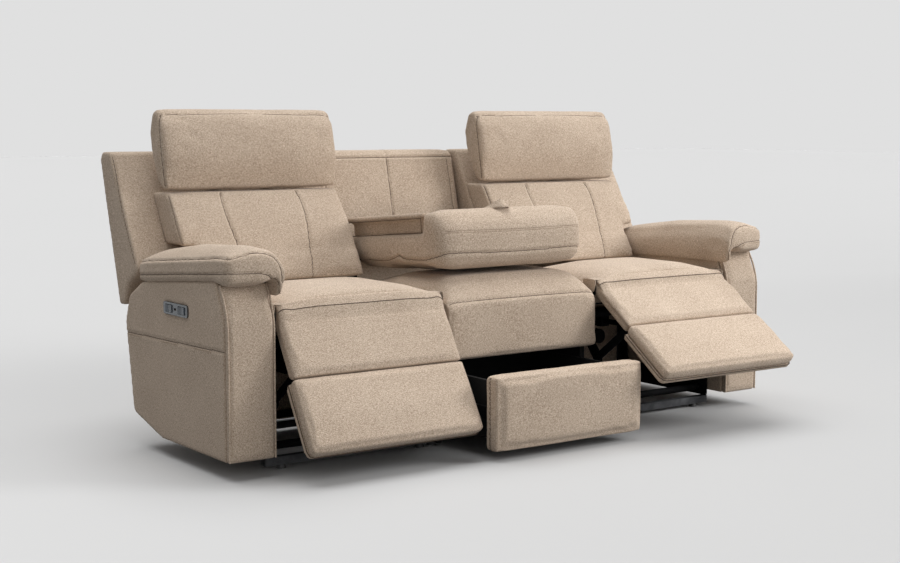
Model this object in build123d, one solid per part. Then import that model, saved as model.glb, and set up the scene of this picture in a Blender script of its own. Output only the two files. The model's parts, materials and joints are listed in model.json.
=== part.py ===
"""Power reclining sofa: two recliners, a middle seat with drop-down table, and a drawer.

Sizes are in millimetres. X runs to the sitter's left-to-right as seen from the front, Y from the
arm fronts to the rear and Z up from the floor. Each right-hand piece is made first and mirrored.
"""
import math
import os

from build123d import *

# Overall widths
WIDTH = 2100.0
ARM_WIDTH = 150.0
ARM_INNER = WIDTH / 2 - ARM_WIDTH
MIDDLE_HALF = 298.0
SEAT_CENTRE = (ARM_INNER + MIDDLE_HALF) / 2
UNIT_HALF = (ARM_INNER - MIDDLE_HALF) / 2
SEAT_HALF = UNIT_HALF - 8.0
PAD_HALF = SEAT_HALF - 8.0
FOOT_HALF = SEAT_HALF
ORIGIN_Y = 282.1

# Heights and depths
RAIL_BOTTOM = 12.0
RAIL_TOP = 36.0
RAIL_DEPTH = 25.0
FRONT_RAIL_Y = 82.0
REAR_RAIL_Y = 545.0
DECK_Z = 398.0
WEB_THICK = 4.0
SEAT_BOTTOM = DECK_Z + WEB_THICK
SEAT_TOP = 519.0
SEAT_REAR = 505.0
APRON_BOTTOM = 274.0
CROWN = ((1.0, -20, 10), (0.966, -9, 3), (0.83, 3, 0), (0.0, 14, 0))
ARM_BOTTOM = 54.0
ARM_WALL = 14.0
ARM_FRONT_THICK = 22.0
ARM_TOP_FRONT = (70.0, 562.0)
ARM_TOP_REAR = (567.0, 521.0)
FASCIA_GAP = 0.1
RUN_GAP = 0.3
CORNER_LEAST = 0.01

# Footrest hinge, panel and linkage
HINGE_Y, HINGE_Z = 34.0, 466.0
PAD_FACE = 22.0
UPPER_LENGTH = 206.0
LOWER_END = 436.0
LEG_PAD_THICK = 2 * PAD_FACE
FOOT_PAD_THICK = 40.0
PAD_FOLD = 4.0
PAD_ENDS = ((1.0, 0.0, 0.2, 10.0), (1.0, 10.0, 0.4, 2.0), (0.8, 0.0, 0.7, 0.0))
BOARD_THICK = 16.0
LEFT_OPEN = 30.5
RIGHT_OPEN = 54.5
FULL_OPEN = 88.0
BRACKET_PIN = (84.0, 300.0)
LINK_RISE = (150.0, -112.0)
HINGE = (HINGE_Y, HINGE_Z)
DRIVE_AXIS = (HINGE_Y + LINK_RISE[0], HINGE_Z + LINK_RISE[1])
LINK_END = (BRACKET_PIN[0] + LINK_RISE[0], BRACKET_PIN[1] + LINK_RISE[1])
CRANK_RADIUS = 60.0
YOKE_GAIN = 55.8
LINK_HALF = 13.0
PLATE = 4.0
PLATE_U = UNIT_HALF - 13.0
BRACKET_U = PLATE_U - 52.0
COUPLER_U = BRACKET_U - 6.0
DRIVE_U = COUPLER_U - 6.0
CRANK_U = 7.0
ROD_RADIUS = 6.0
TUBE_RADIUS = 14.0
JOURNAL_RADIUS = 10.0
STUD_RADIUS = 5.0
CROSS_RADIUS = 12.0
YOKE_Z = 302.0
YOKE_HALF = 18.0
YOKE_REAR = 36.0
YOKE_PLAY = 1.6
ACTUATOR_ROD = 9.0
ACTUATOR_FRONT, ACTUATOR_REAR = 300.0, REAR_RAIL_Y - CROSS_RADIUS
CROSS_PLACES = ((130.0, 60.0), (REAR_RAIL_Y, 60.0), (REAR_RAIL_Y, YOKE_Z))

# Back, headrest and table pivots
BACK_PIVOT = (628.0, 420.0)
BACK_BOTTOM = 440.0
BACK_REAR = ((766.0, BACK_BOTTOM), (890.0, 888.0))
BACK_STUD = 7.0
BACK_INNER = MIDDLE_HALF + 6.0
BACK_OUTER = ARM_INNER - 7.0
WING_OUTER = WIDTH / 2 - 15.0
FRONT_KNEE = (592.0, 514.0)
FRONT_TOP = (812.0, 908.0)
WING_OUTLINE = [(611, 548, 8), (779, 488, 15), (890, 888, 15), (872, 908, 18), (812, 908, 25)]
BACK_WALL = 14.0
BACK_POST = 18.0
HEAD_PIVOT = (656.0, 806.0)
HEAD_INNER = MIDDLE_HALF + 6.0
STRAP_OFFSET = 95.0
HEAD_OUTER = ARM_INNER + 34.0
LUMBAR_TOP = 786.0
SEAM_OFFSET = 135.0
TABLE_PIVOT = (550.0, 555.0)
TABLE_TILT = 5.0
TABLE_HALF = MIDDLE_HALF - 12.0
TABLE_STUD = 7.0
TRAY_FLOOR = 627.0
TRAY_UNDER = 673.0
TRAY_TOP = 690.0
TRAY_FRONT = 155.0
TRAY_REAR = 606.0
TRAY_SINK = 4.0
NOSE_FRONT = (84.0, 696.0)
NOSE_REAR = (TRAY_FRONT, TRAY_TOP - 1.0)
CUP_X = 95.0
CUP_Y = 385.0
CUP_RADIUS = 41.0

POST_REAR = ((700.0, DECK_Z), (770.0, 520.0), (889.0, 887.0))
POST_FRONT = ((843.0, 891.0), (768.0, 566.0))
REAR_SHEET = 4.0
STRAP_X = (-95.0, 60.0)
STRAP_Y = 122.0
STRAP_WIDTH = 26.0
STRAP_THICK = 3.0
STRAP_RISE = 32.0
STRAP_TAB = 22.0
STRAP_LEAN = 0.8

# Drawer
DRAWER_OPEN = 233.0
DRAWER_DEPTH = 480.0
DRAWER_BOTTOM = 62.0
DRAWER_TOP = 236.0
DRAWER_FRONT_THICK = 55.0
DRAWER_FRONT_Z = (30.0, 258.0)
DRAWER_WALL = 12.0
SLIDE_THICK = 12.0
CHANNEL_Z = (116.0, 164.0)
CHANNEL_LIP = 5.0
CHANNEL_WEB = 4.0
CHANNEL_REACH = 14.0
SIDE_BOARD = 18.0
DRAWER_HALF = MIDDLE_HALF - SIDE_BOARD - CHANNEL_REACH - 4.0

# Switch plate on the arm's outer side
SWITCH_Y = (245.0, 405.0)
SWITCH_Z = (441.0, 477.0)
ROCKER_OFFSET = 42.0
ROCKER_HALF = 22.0
ROCKER_PIN = 1.5
ROCKER_PIN_X = 1.7


def face_of(points):
    """Face from (across, up, corner radius) points; each corner is an arc that its sides have room for."""
    corners = []
    count = len(points)
    for i in range(count):
        here = Vector(points[i][0], points[i][1])
        back = Vector(points[i - 1][0], points[i - 1][1]) - here
        ahead = Vector(points[(i + 1) % count][0], points[(i + 1) % count][1]) - here
        half_turn = (math.pi - math.radians(back.get_angle(ahead))) / 2
        reach = min(points[i][2] * math.tan(half_turn), 0.49 * back.length, 0.49 * ahead.length)
        if reach < CORNER_LEAST:
            corners.append((here, None, here))
            continue
        middle = (back.normalized() + ahead.normalized()).normalized()
        rise = reach / math.tan(half_turn) * (1 / math.cos(half_turn) - 1)
        start, end = here + back.normalized() * reach, here + ahead.normalized() * reach
        corners.append((start, here + middle * rise, end))
    edges = []
    for i, (start, middle, end) in enumerate(corners):
        if middle is not None:
            edges.append(Edge.make_three_point_arc(start, middle, end))
        edges.append(Edge.make_line(end, corners[(i + 1) % count][0]))
    return Face(Wire(edges))


def slab(points, x_from, x_to):
    """Side outline in (y, z, radius) carried from one x to another."""
    return extrude(Plane.YZ.offset(x_from) * face_of(points), x_to - x_from)


def sharp(points, radius=0.0):
    return [(y, z, radius) for y, z in points]


def block(x, y, z):
    """Box from (low, high) pairs along each axis."""
    centre = Pos((x[0] + x[1]) / 2, (y[0] + y[1]) / 2, (z[0] + z[1]) / 2)
    return centre * Box(x[1] - x[0], y[1] - y[0], z[1] - z[0])


def rod(centre, radius, x_from, x_to):
    """Round bar along X at a (y, z) centre."""
    return extrude(Plane.YZ.offset(x_from) * Pos(*centre) * Circle(radius), x_to - x_from)


def soft(sections):
    """Padded form through side outlines given as (x, points)."""
    return loft([Plane.YZ.offset(x) * face_of(points) for x, points in sections], ruled=True)


def inset(points, amount):
    """Outline drawn in by the same amount all round (points run anticlockwise)."""
    result = []
    count = len(points)
    for i in range(count):
        before, here, after = points[i - 1], points[i], points[(i + 1) % count]
        lines = []
        for start, end in ((before, here), (here, after)):
            run, rise = end[0] - start[0], end[1] - start[1]
            length = math.hypot(run, rise)
            lines.append((start[0] - rise / length * amount, start[1] + run / length * amount, run, rise))
        (ax, ay, au, av), (bx, by, bu, bv) = lines
        along = ((bx - ax) * bv - (by - ay) * bu) / (au * bv - av * bu)
        result.append((ax + along * au, ay + along * av, max(here[2] - amount, 0.0)))
    return result


def swing(shape, pivot, degrees):
    """Turn about an X axis through a (y, z) pivot; positive lifts the front."""
    return shape.rotate(Axis((0, pivot[0], pivot[1]), (1, 0, 0)), -degrees)


def flat_bar(start, end, half, x_from, x_to):
    """Link with round ends between two (y, z) centres."""
    run, rise = end[0] - start[0], end[1] - start[1]
    length = math.hypot(run, rise)
    along = (run / length * half, rise / length * half)
    side = (-along[1], along[0])
    corners = [
        (start[0] - along[0] - side[0], start[1] - along[1] - side[1]),
        (end[0] + along[0] - side[0], end[1] + along[1] - side[1]),
        (end[0] + along[0] + side[0], end[1] + along[1] + side[1]),
        (start[0] - along[0] + side[0], start[1] - along[1] + side[1]),
    ]
    return slab(sharp(corners, half * 0.98), x_from, x_to)


def union(shapes):
    result = shapes[0]
    for shape in shapes[1:]:
        result = result + shape
    return result


def paired(make, centre=SEAT_CENTRE):
    """Same piece on both sides of a seat centre, made for the outer side and reflected."""
    outer = make()
    inner = mirror(outer, about=Plane.YZ.offset(centre))
    return [outer, inner]


def front_line(z):
    """Y of the back's front face at a height."""
    share = (z - FRONT_KNEE[1]) / (FRONT_TOP[1] - FRONT_KNEE[1])
    return FRONT_KNEE[0] + share * (FRONT_TOP[0] - FRONT_KNEE[0])


# Arms

def arm_outline():
    """Side outline of the arm's body behind its fascia."""
    return [
        (ARM_FRONT_THICK, ARM_BOTTOM, 2), (448, ARM_BOTTOM, 25), (648, 105, 25), (697, 388, 50),
        (665, 470, 40), (*ARM_TOP_REAR, 80), (*ARM_TOP_FRONT, 6), (ARM_FRONT_THICK, 455, 60),
    ]


def arm_cover():
    """Upholstered shell of the arm with a pocket for the switches."""
    shell = slab(arm_outline(), ARM_INNER, WIDTH / 2)
    hollow = slab(inset(arm_outline(), ARM_WALL), ARM_INNER + ARM_WALL, WIDTH / 2 - ARM_WALL)
    pocket = block(
        (WIDTH / 2 - 10, WIDTH / 2),
        (SWITCH_Y[0] + 3, SWITCH_Y[1] - 3),
        (SWITCH_Z[0] + 3, SWITCH_Z[1] - 3),
    )
    return shell - hollow - pocket


def arm_frame():
    """Board frame inside one arm."""
    across = (ARM_INNER + ARM_WALL, WIDTH / 2 - ARM_WALL)
    low = ARM_BOTTOM + ARM_WALL
    board, top = 22.0, 440.0
    bottom_rail = block(across, (40, 440), (low, low + board))
    front_post = block(across, (40, 40 + board), (low + board, top))
    rear_post = block(across, (600 - board, 600), (120, top))
    top_rail = block(across, (48, 600), (top, top + board))
    return Compound([bottom_rail, front_post, rear_post, top_rail])


def arm_front():
    """Padded fascia that rolls back at the top, along the cover's front edge."""
    back = ARM_FRONT_THICK - FASCIA_GAP
    outline = [
        (0, ARM_BOTTOM, 4), (back, ARM_BOTTOM, 1), (back, 455, 60), (64 - FASCIA_GAP, 548.6, 2), (47, 557, 3),
        (0, 462, 80),
    ]
    return slab(outline, ARM_INNER + 1, WIDTH / 2 - 1)


def arm_pillow():
    """Padded arm top: lies on the arm, overhangs its front and hooks down inside it."""
    fall = (ARM_TOP_FRONT[1] - ARM_TOP_REAR[1]) / (ARM_TOP_REAR[0] - ARM_TOP_FRONT[0])
    outer, inner_face, hook = WIDTH / 2 + 8, ARM_INNER - 16, ARM_INNER - RUN_GAP

    def section(y, pull, crest):
        under = ARM_TOP_FRONT[1] + RUN_GAP - (y - ARM_TOP_FRONT[0]) * fall + 0.5 * pull
        drop = min(SEAT_TOP + 0.5 * pull, under - 14)
        inner = inner_face + 0.3 * pull
        return [
            (outer - 2 - pull, under, 10), (outer - pull, under + 66 - pull, 22),
            (ARM_INNER + 65, crest - pull, 110), (inner + 22, crest - 12 - pull, 26),
            (inner, crest - 58 - pull, 26), (inner, drop, 6), (hook, drop, 2), (hook, under, 0),
        ]

    stations = [
        (-19, 22, 657), (-12, 8, 659), (4, 1, 660), (70, 0, 662), (300, 0, 650), (520, 0, 623), (572, 3, 615),
        (592, 14, 611),
    ]
    faces = [Plane.XZ.offset(-y) * face_of(section(y, pull, crest)) for y, pull, crest in stations]
    return loft(faces, ruled=True)


def switch_bezel():
    """Plate on the arm with two openings, the rockers' pins and a socket between them."""
    x = (WIDTH / 2, WIDTH / 2 + 3.5)
    mid_y = sum(SWITCH_Y) / 2
    mid_z = sum(SWITCH_Z) / 2
    length, height = SWITCH_Y[1] - SWITCH_Y[0], SWITCH_Z[1] - SWITCH_Z[0]
    outline = RectangleRounded(length, height, 7)
    plate = extrude(Plane.YZ.offset(x[0]) * Pos(mid_y, mid_z) * outline, x[1] - x[0])
    for offset in (-ROCKER_OFFSET, ROCKER_OFFSET):
        y = mid_y + offset
        opening = block(x, (y - ROCKER_HALF - 2, y + ROCKER_HALF + 2), (mid_z - 12, mid_z + 12))
        pin = Pos(x[0] + ROCKER_PIN_X, y, mid_z) * Cylinder(ROCKER_PIN, 26)
        plate = plate - opening + pin
    return plate - block(x, (mid_y - 7, mid_y + 7), (mid_z - 3.5, mid_z + 3.5))


def rocker(offset):
    """Rocker key with a dished face, bored for its pin."""
    y = sum(SWITCH_Y) / 2 + offset
    mid_z = sum(SWITCH_Z) / 2
    x = WIDTH / 2
    outline = [
        (x - 2.5, -ROCKER_HALF, 1), (x + 6.5, -ROCKER_HALF, 2), (x + 4.7, 0, 30), (x + 6.5, ROCKER_HALF, 2),
        (x - 2.5, ROCKER_HALF, 1),
    ]
    key = extrude(Plane.XY.offset(mid_z - 10.5) * Pos(0, y) * face_of(outline), 21)
    return key - Pos(x + ROCKER_PIN_X, y, mid_z) * Cylinder(ROCKER_PIN + RUN_GAP, 30)


# Seats

def seat_section(lift, pull):
    return [
        (12 + pull, 489.5, 3), (75, 489.5, 3), (75, SEAT_BOTTOM, 6), (SEAT_REAR, SEAT_BOTTOM, 8),
        (SEAT_REAR - pull, 478 + 0.3 * lift, 22), (300, SEAT_TOP + lift, 500), (120, SEAT_TOP + lift, 150),
        (36 + pull, 506 + 0.6 * lift, 55),
    ]


def middle_seat_section(lift, pull):
    return [
        (pull, APRON_BOTTOM, 12), (62, APRON_BOTTOM, 4), (62, SEAT_BOTTOM, 4), (SEAT_REAR, SEAT_BOTTOM, 8),
        (SEAT_REAR - pull, 478 + 0.3 * lift, 22), (300, SEAT_TOP + lift, 500), (110, SEAT_TOP + lift, 120),
        (pull, 470 + 0.5 * lift, 60),
    ]


def crowned(section, centre, half):
    """Cushion whose top falls and whose edges draw in towards both ends."""
    sections = []
    for share, lift, pull in CROWN:
        sections.append((centre - share * half, section(lift, pull)))
    for share, lift, pull in CROWN[-2::-1]:
        sections.append((centre + share * half, section(lift, pull)))
    return soft(sections)


def seat_cushion():
    return crowned(seat_section, SEAT_CENTRE, SEAT_HALF)


def middle_seat_cushion():
    return crowned(middle_seat_section, 0, MIDDLE_HALF - 2)


def side_plate():
    """Recliner side plate: foot on the rails, horn to the footrest hinge, ear to the back pivot."""
    pivot_y, pivot_z = BACK_PIVOT
    outline = [
        (80, RAIL_TOP, 8), (562, RAIL_TOP, 20), (582, 330, 60), (pivot_y + 17, pivot_z - 18, 14),
        (pivot_y + 17, pivot_z + 16, 15), (pivot_y - 17, pivot_z + 16, 15), (pivot_y - 24, DECK_Z, 10),
        (66, DECK_Z, 3), (66, HINGE_Z + 13, 14), (HINGE_Y - 13, HINGE_Z + 13, 12),
        (HINGE_Y - 13, HINGE_Z - 18, 12), (64, 350, 40), (80, 300, 40),
    ]
    x = (SEAT_CENTRE + PLATE_U, SEAT_CENTRE + PLATE_U + PLATE)
    plate = slab(outline, *x)
    for window in ([(130, 110, 25), (290, 110, 25), (290, 250, 25), (150, 250, 25)],
                   [(330, 110, 25), (500, 110, 25), (510, 250, 25), (330, 270, 25)]):
        plate = plate - slab(window, *x)
    plate = plate - rod(DRIVE_AXIS, JOURNAL_RADIUS + RUN_GAP, *x)
    stud = rod(BACK_PIVOT, BACK_STUD, x[0] - 32, x[1])
    stubs = [rod(centre, CROSS_RADIUS, x[0] + 1, SEAT_CENTRE + UNIT_HALF) for centre in CROSS_PLACES]
    return union([plate, stud] + stubs)


def seat_frame():
    """Two side plates joined by the footrest's hinge rod and the cross tubes."""
    ends = (SEAT_CENTRE - PLATE_U, SEAT_CENTRE + PLATE_U)
    hinge_rod = rod(HINGE, ROD_RADIUS, *ends)
    cross = [rod(centre, CROSS_RADIUS, *ends) for centre in CROSS_PLACES]
    return Compound(paired(side_plate) + [hinge_rod] + cross)


def seat_webbing():
    """Webbing across the seat decks, under the cushions."""
    strap, pitch, first, count = 48.0, 72.0, 88.0, 6
    straps = []
    for centre, half in ((-SEAT_CENTRE, PLATE_U + PLATE), (0, MIDDLE_HALF), (SEAT_CENTRE, PLATE_U + PLATE)):
        for i in range(count):
            y = first + i * pitch
            straps.append(block((centre - half, centre + half), (y, y + strap), (DECK_Z, SEAT_BOTTOM)))
    return Compound(straps)


# Footrest, modelled hanging straight down and then swung open

def footrest_angle(side):
    return LEFT_OPEN if side < 0 else RIGHT_OPEN


def across_pad(section, deepest, half):
    """Pad between drawn-in ends; sections take a bulge and a pull, deepest is the bulge halfway across."""
    sections = []
    for share, inset_by, bulge, pull in PAD_ENDS:
        sections.append((SEAT_CENTRE - share * half + inset_by, section(bulge * deepest, pull)))
    sections.append((SEAT_CENTRE, section(deepest, 0)))
    for share, inset_by, bulge, pull in PAD_ENDS[::-1]:
        sections.append((SEAT_CENTRE + share * half - inset_by, section(bulge * deepest, pull)))
    return soft(sections)


def leg_pad():
    """Upper footrest pad, rounded about the hinge rod that it turns on."""
    low = HINGE_Z - UPPER_LENGTH
    outer, inner = HINGE_Y - PAD_FACE, HINGE_Y + PAD_FACE

    def section(bulge, pull):
        nose = (LEG_PAD_THICK - pull) / 2 - 0.05
        return [
            (outer + pull, low + pull, 13), (inner, low + pull, 5), (inner, HINGE_Z + PAD_FACE - pull, nose),
            (outer + pull, HINGE_Z + PAD_FACE - pull, nose), (outer + pull, HINGE_Z - PAD_FACE - 6, 40),
            (outer + pull - bulge, low + 100, 380),
        ]

    ends = (SEAT_CENTRE - PAD_HALF - 1, SEAT_CENTRE + PAD_HALF + 1)
    return across_pad(section, 10, PAD_HALF) - rod(HINGE, ROD_RADIUS + RUN_GAP, *ends)


def foot_pad():
    """Lower footrest pad, below the fold."""
    low, high = HINGE_Z - LOWER_END, HINGE_Z - UPPER_LENGTH - PAD_FOLD
    outer = HINGE_Y - PAD_FACE
    inner = outer + FOOT_PAD_THICK

    def section(bulge, pull):
        return [
            (outer + pull, low + pull, 14), (inner, low + pull, 4), (inner, high - pull, 4),
            (outer + pull, high - pull, 13), (outer + pull - bulge, (low + high) / 2, 380),
        ]

    return across_pad(section, 8, FOOT_HALF)


def foot_board():
    """Covered board behind both pads."""
    front = HINGE_Y - PAD_FACE + FOOT_PAD_THICK
    back = front + BOARD_THICK
    low, fold = HINGE_Z - LOWER_END + 3, HINGE_Z - UPPER_LENGTH - PAD_FOLD
    wide = FOOT_HALF + 2
    outline = Pos(SEAT_CENTRE, (low + fold) / 2) * RectangleRounded(2 * wide, fold - low, 16)
    lower = extrude(Plane.XZ.offset(-back) * outline, back - front)
    across = (SEAT_CENTRE - PAD_HALF + 35, SEAT_CENTRE + PAD_HALF - 35)
    upper = block(across, (HINGE_Y + PAD_FACE, back), (fold - 20, 440))
    return lower + upper


def foot_brackets():
    """Brackets on the board with the studs that the coupler links turn on."""
    back = HINGE_Y - PAD_FACE + FOOT_PAD_THICK + BOARD_THICK
    u = SEAT_CENTRE + BRACKET_U

    def make():
        y, z = BRACKET_PIN
        outline = [(back, z - 60, 3), (y + 14, z - 12, 13), (y + 14, z + 14, 13), (back, z + 45, 3)]
        ear = slab(outline, u, u + PLATE)
        foot = block((u, u + 24), (back, back + PLATE), (z - 60, z + 45))
        return ear + foot + rod(BRACKET_PIN, STUD_RADIUS, u - 6.5, u + 1)

    return Compound(paired(make))


def drive_tube():
    """Torque tube with a link at each end and, between its crank cheeks, the pin that the yoke pushes."""
    inner_end, outer_end = PLATE_U - 4, PLATE_U + PLATE + 3
    tube = rod(DRIVE_AXIS, TUBE_RADIUS, SEAT_CENTRE - inner_end, SEAT_CENTRE + inner_end)
    journals = rod(DRIVE_AXIS, JOURNAL_RADIUS, SEAT_CENTRE - outer_end, SEAT_CENTRE + outer_end)
    u = SEAT_CENTRE + DRIVE_U

    def link():
        bar = flat_bar(DRIVE_AXIS, LINK_END, LINK_HALF + 7, u, u + PLATE) - tube
        return bar + rod(LINK_END, STUD_RADIUS, u + 1, u + 10.5)

    lean = math.radians(FULL_OPEN / 2)
    pin = (DRIVE_AXIS[0] + CRANK_RADIUS * math.sin(lean), DRIVE_AXIS[1] - CRANK_RADIUS * math.cos(lean))

    def crank():
        return flat_bar(DRIVE_AXIS, pin, LINK_HALF + 7, SEAT_CENTRE + CRANK_U, SEAT_CENTRE + CRANK_U + 5) - tube

    crank_pin = rod(pin, ROD_RADIUS, SEAT_CENTRE - CRANK_U, SEAT_CENTRE + CRANK_U)
    return Compound([tube + journals] + paired(link) + paired(crank) + [crank_pin])


def coupler_links(side):
    """Links that keep their slope while the footrest swings: opposite side of the parallelogram."""
    angle = math.radians(footrest_angle(side))
    run, rise = BRACKET_PIN[0] - HINGE_Y, BRACKET_PIN[1] - HINGE_Z
    start = (
        HINGE_Y + run * math.cos(angle) + rise * math.sin(angle),
        HINGE_Z - run * math.sin(angle) + rise * math.cos(angle),
    )
    end = (start[0] + LINK_RISE[0], start[1] + LINK_RISE[1])
    u = SEAT_CENTRE + COUPLER_U

    def make():
        bar = flat_bar(start, end, LINK_HALF, u, u + PLATE)
        for centre in (start, end):
            bar = bar - rod(centre, STUD_RADIUS + RUN_GAP, u, u + PLATE)
        return bar

    return Compound(paired(make))


def along_y(x, z, radius, y_from, y_to):
    """Round bar along Y."""
    return extrude(Plane.XZ.offset(-y_from) * Pos(x, z) * Circle(radius), -(y_to - y_from))


def actuator_motor():
    """Bored housing of the linear actuator with its gearbox and motor slung below."""
    half = 18.0
    across = (SEAT_CENTRE - half, SEAT_CENTRE + half)
    body = block(across, (ACTUATOR_FRONT, ACTUATOR_REAR), (YOKE_Z - half, YOKE_Z + half))
    gearbox = block((SEAT_CENTRE - 30, SEAT_CENTRE + 30), (430, 500), (YOKE_Z - 90, YOKE_Z - half))
    motor = along_y(SEAT_CENTRE, YOKE_Z - 58, 26, 330, 430)
    bore = along_y(SEAT_CENTRE, YOKE_Z, ACTUATOR_ROD + RUN_GAP, ACTUATOR_FRONT, 470)
    return body + gearbox + motor - bore


def actuator_rod(side):
    """Push rod whose slotted yoke drives the crank pin."""
    lean = math.radians(FULL_OPEN / 2)
    y = DRIVE_AXIS[0] - YOKE_GAIN * (math.radians(footrest_angle(side)) - lean)
    low, high = DRIVE_AXIS[1] - CRANK_RADIUS, DRIVE_AXIS[1] - CRANK_RADIUS * math.cos(lean)
    x = (SEAT_CENTRE - 5, SEAT_CENTRE + 5)
    yoke = block(x, (y - YOKE_HALF, y + YOKE_REAR), (low - 18, high + 18))
    room = ROD_RADIUS + YOKE_PLAY
    slot = block(x, (y - room, y + room), (low - ROD_RADIUS - 1, high + ROD_RADIUS + 1))
    bar = along_y(SEAT_CENTRE, YOKE_Z, ACTUATOR_ROD, y + YOKE_REAR - 2, y + 200)
    return yoke - slot + bar


# Backs and headrests

def back_outline(bottom):
    """Side outline of the back, ending below at a height."""
    (low_y, low_z), (high_y, high_z) = BACK_REAR
    rear = low_y + (bottom - low_z) * (high_y - low_y) / (high_z - low_z)
    return [
        (FRONT_KNEE[0], bottom, 8), (rear, bottom, 12), (high_y, high_z, 15), (872, FRONT_TOP[1], 18),
        (*FRONT_TOP, 25), (*FRONT_KNEE, 40),
    ]


def back_cavity(bottom):
    """Room inside the back's cover, with sharp corners."""
    return inset([(y, z, 0) for y, z, radius in back_outline(bottom - BACK_WALL)], BACK_WALL)


def bracket_places():
    """X of the two pivot brackets, beside the frame's posts."""
    return (BACK_INNER + BACK_WALL + BACK_POST, BACK_OUTER - BACK_WALL - BACK_POST - PLATE)


def back_cover():
    """Upholstered shell of the back with its wing over the arm, slotted for the pivot brackets."""
    shell = slab(back_outline(BACK_BOTTOM), BACK_INNER, BACK_OUTER)
    shell = shell - slab(back_cavity(BACK_BOTTOM + BACK_WALL), BACK_INNER + BACK_WALL, BACK_OUTER - BACK_WALL)
    y, z = (BACK_PIVOT[0] - 16, BACK_PIVOT[0] + 24), (BACK_BOTTOM, BACK_BOTTOM + BACK_WALL)
    for x in bracket_places():
        shell = shell - block((x - 1, x + PLATE + 1), y, z)
    wing = soft([
        (BACK_OUTER, WING_OUTLINE), (WING_OUTER - 22, WING_OUTLINE), (WING_OUTER - 6, inset(WING_OUTLINE, 4)),
        (WING_OUTER, inset(WING_OUTLINE, 12)),
    ])
    return shell + wing


def back_frame():
    """Two shaped posts and three rails inside the back's cover."""
    post = back_cavity(BACK_BOTTOM + 30)
    low, high = BACK_INNER + BACK_WALL, BACK_OUTER - BACK_WALL
    posts = [slab(post, low, low + BACK_POST), slab(post, high - BACK_POST, high)]
    rails = []
    rail = 45.0
    for z in (575, 700, 830):
        y = front_line(z + rail) + BACK_POST
        rails.append(block((low + BACK_POST, high - BACK_POST), (y, y + BACK_POST), (z, z + rail)))
    return Compound(posts + rails)


def back_hardware():
    """Steel on the back: pivot brackets below and the headrest's hinge rod on its straps."""
    pieces = []
    y, z = BACK_PIVOT
    outline = [
        (y - 16, z - 16, 14), (y + 16, z - 16, 14), (y + 22, z + 50, 20), (y + 48, z + 140, 6),
        (y + 20, z + 140, 6), (y - 12, z + 50, 30),
    ]
    for x in bracket_places():
        pieces.append(slab(outline, x, x + PLATE) - rod(BACK_PIVOT, BACK_STUD + RUN_GAP, x, x + PLATE))
    centre = (HEAD_INNER + HEAD_OUTER) / 2
    y, z = HEAD_PIVOT
    hinge = rod(HEAD_PIVOT, ROD_RADIUS, centre - 190, centre + 190)
    strap = sharp([(y - 2, z - 3), (front_line(z - 3), z - 3), (front_line(z + 3), z + 3), (y - 2, z + 3)])
    for offset in (-STRAP_OFFSET, STRAP_OFFSET):
        hinge = hinge + slab(strap, centre + offset - 15, centre + offset + 15)
    return Compound(pieces + [hinge])


def lumbar_front(z):
    """Y of the lumbar cushion's face at a height."""
    line = [(508, 462), (560, 484), (672, 548), (788, 624)]
    for (low, y_low), (high, y_high) in zip(line, line[1:]):
        if z <= high:
            return y_low + (y_high - y_low) * (z - low) / (high - low)
    return line[-1][1]


def lumbar_section(bottom, pull, dent):
    """Outline that rests on the back's face and bulges forward; pull draws the edges in."""
    height = LUMBAR_TOP - bottom
    low, high = bottom + 0.22 * height, bottom + 0.62 * height
    rear_low = max(front_line(bottom + 6), FRONT_KNEE[0]) - 2 * RUN_GAP
    return [
        (lumbar_front(bottom) + pull + dent, bottom, 14 if pull else 20),
        (rear_low - 3, bottom, 1),
        (rear_low, bottom + 6, 4),
        (front_line(LUMBAR_TOP) - RUN_GAP, LUMBAR_TOP, 4),
        (lumbar_front(LUMBAR_TOP) + 6 + pull + dent, LUMBAR_TOP, 24),
        (lumbar_front(high) + pull + dent - 4, high, 120),
        (lumbar_front(low) + pull + dent - 2, low, 90),
    ]


def lumbar_cushion():
    """Back cushion with two sewn channels; its outer edge clears the arm pillow."""
    seat = 508.0
    shoulder = 668.0
    centre = (HEAD_INNER + HEAD_OUTER) / 2
    groove, lip = 8.0, 9.0
    stations = [(HEAD_INNER, seat + 8, 22, 0), (HEAD_INNER + 12, seat + 2, 7, 0), (HEAD_INNER + 45, seat, 0, 0)]
    for seam in (centre - SEAM_OFFSET, centre + SEAM_OFFSET):
        stations += [(seam - lip, seat, 0, 0), (seam, seat, 0, groove), (seam + lip, seat, 0, 0)]
    stations += [
        (ARM_INNER - 36, seat + 4, 3, 0), (ARM_INNER - 27, seat + 14, 10, 0), (ARM_INNER - 20, shoulder, 4, 0),
        (HEAD_OUTER - 14, shoulder + 24, 9, 0), (HEAD_OUTER - 4, shoulder + 38, 20, 0),
    ]
    return soft([(x, lumbar_section(bottom, pull, dent)) for x, bottom, pull, dent in stations])


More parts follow.
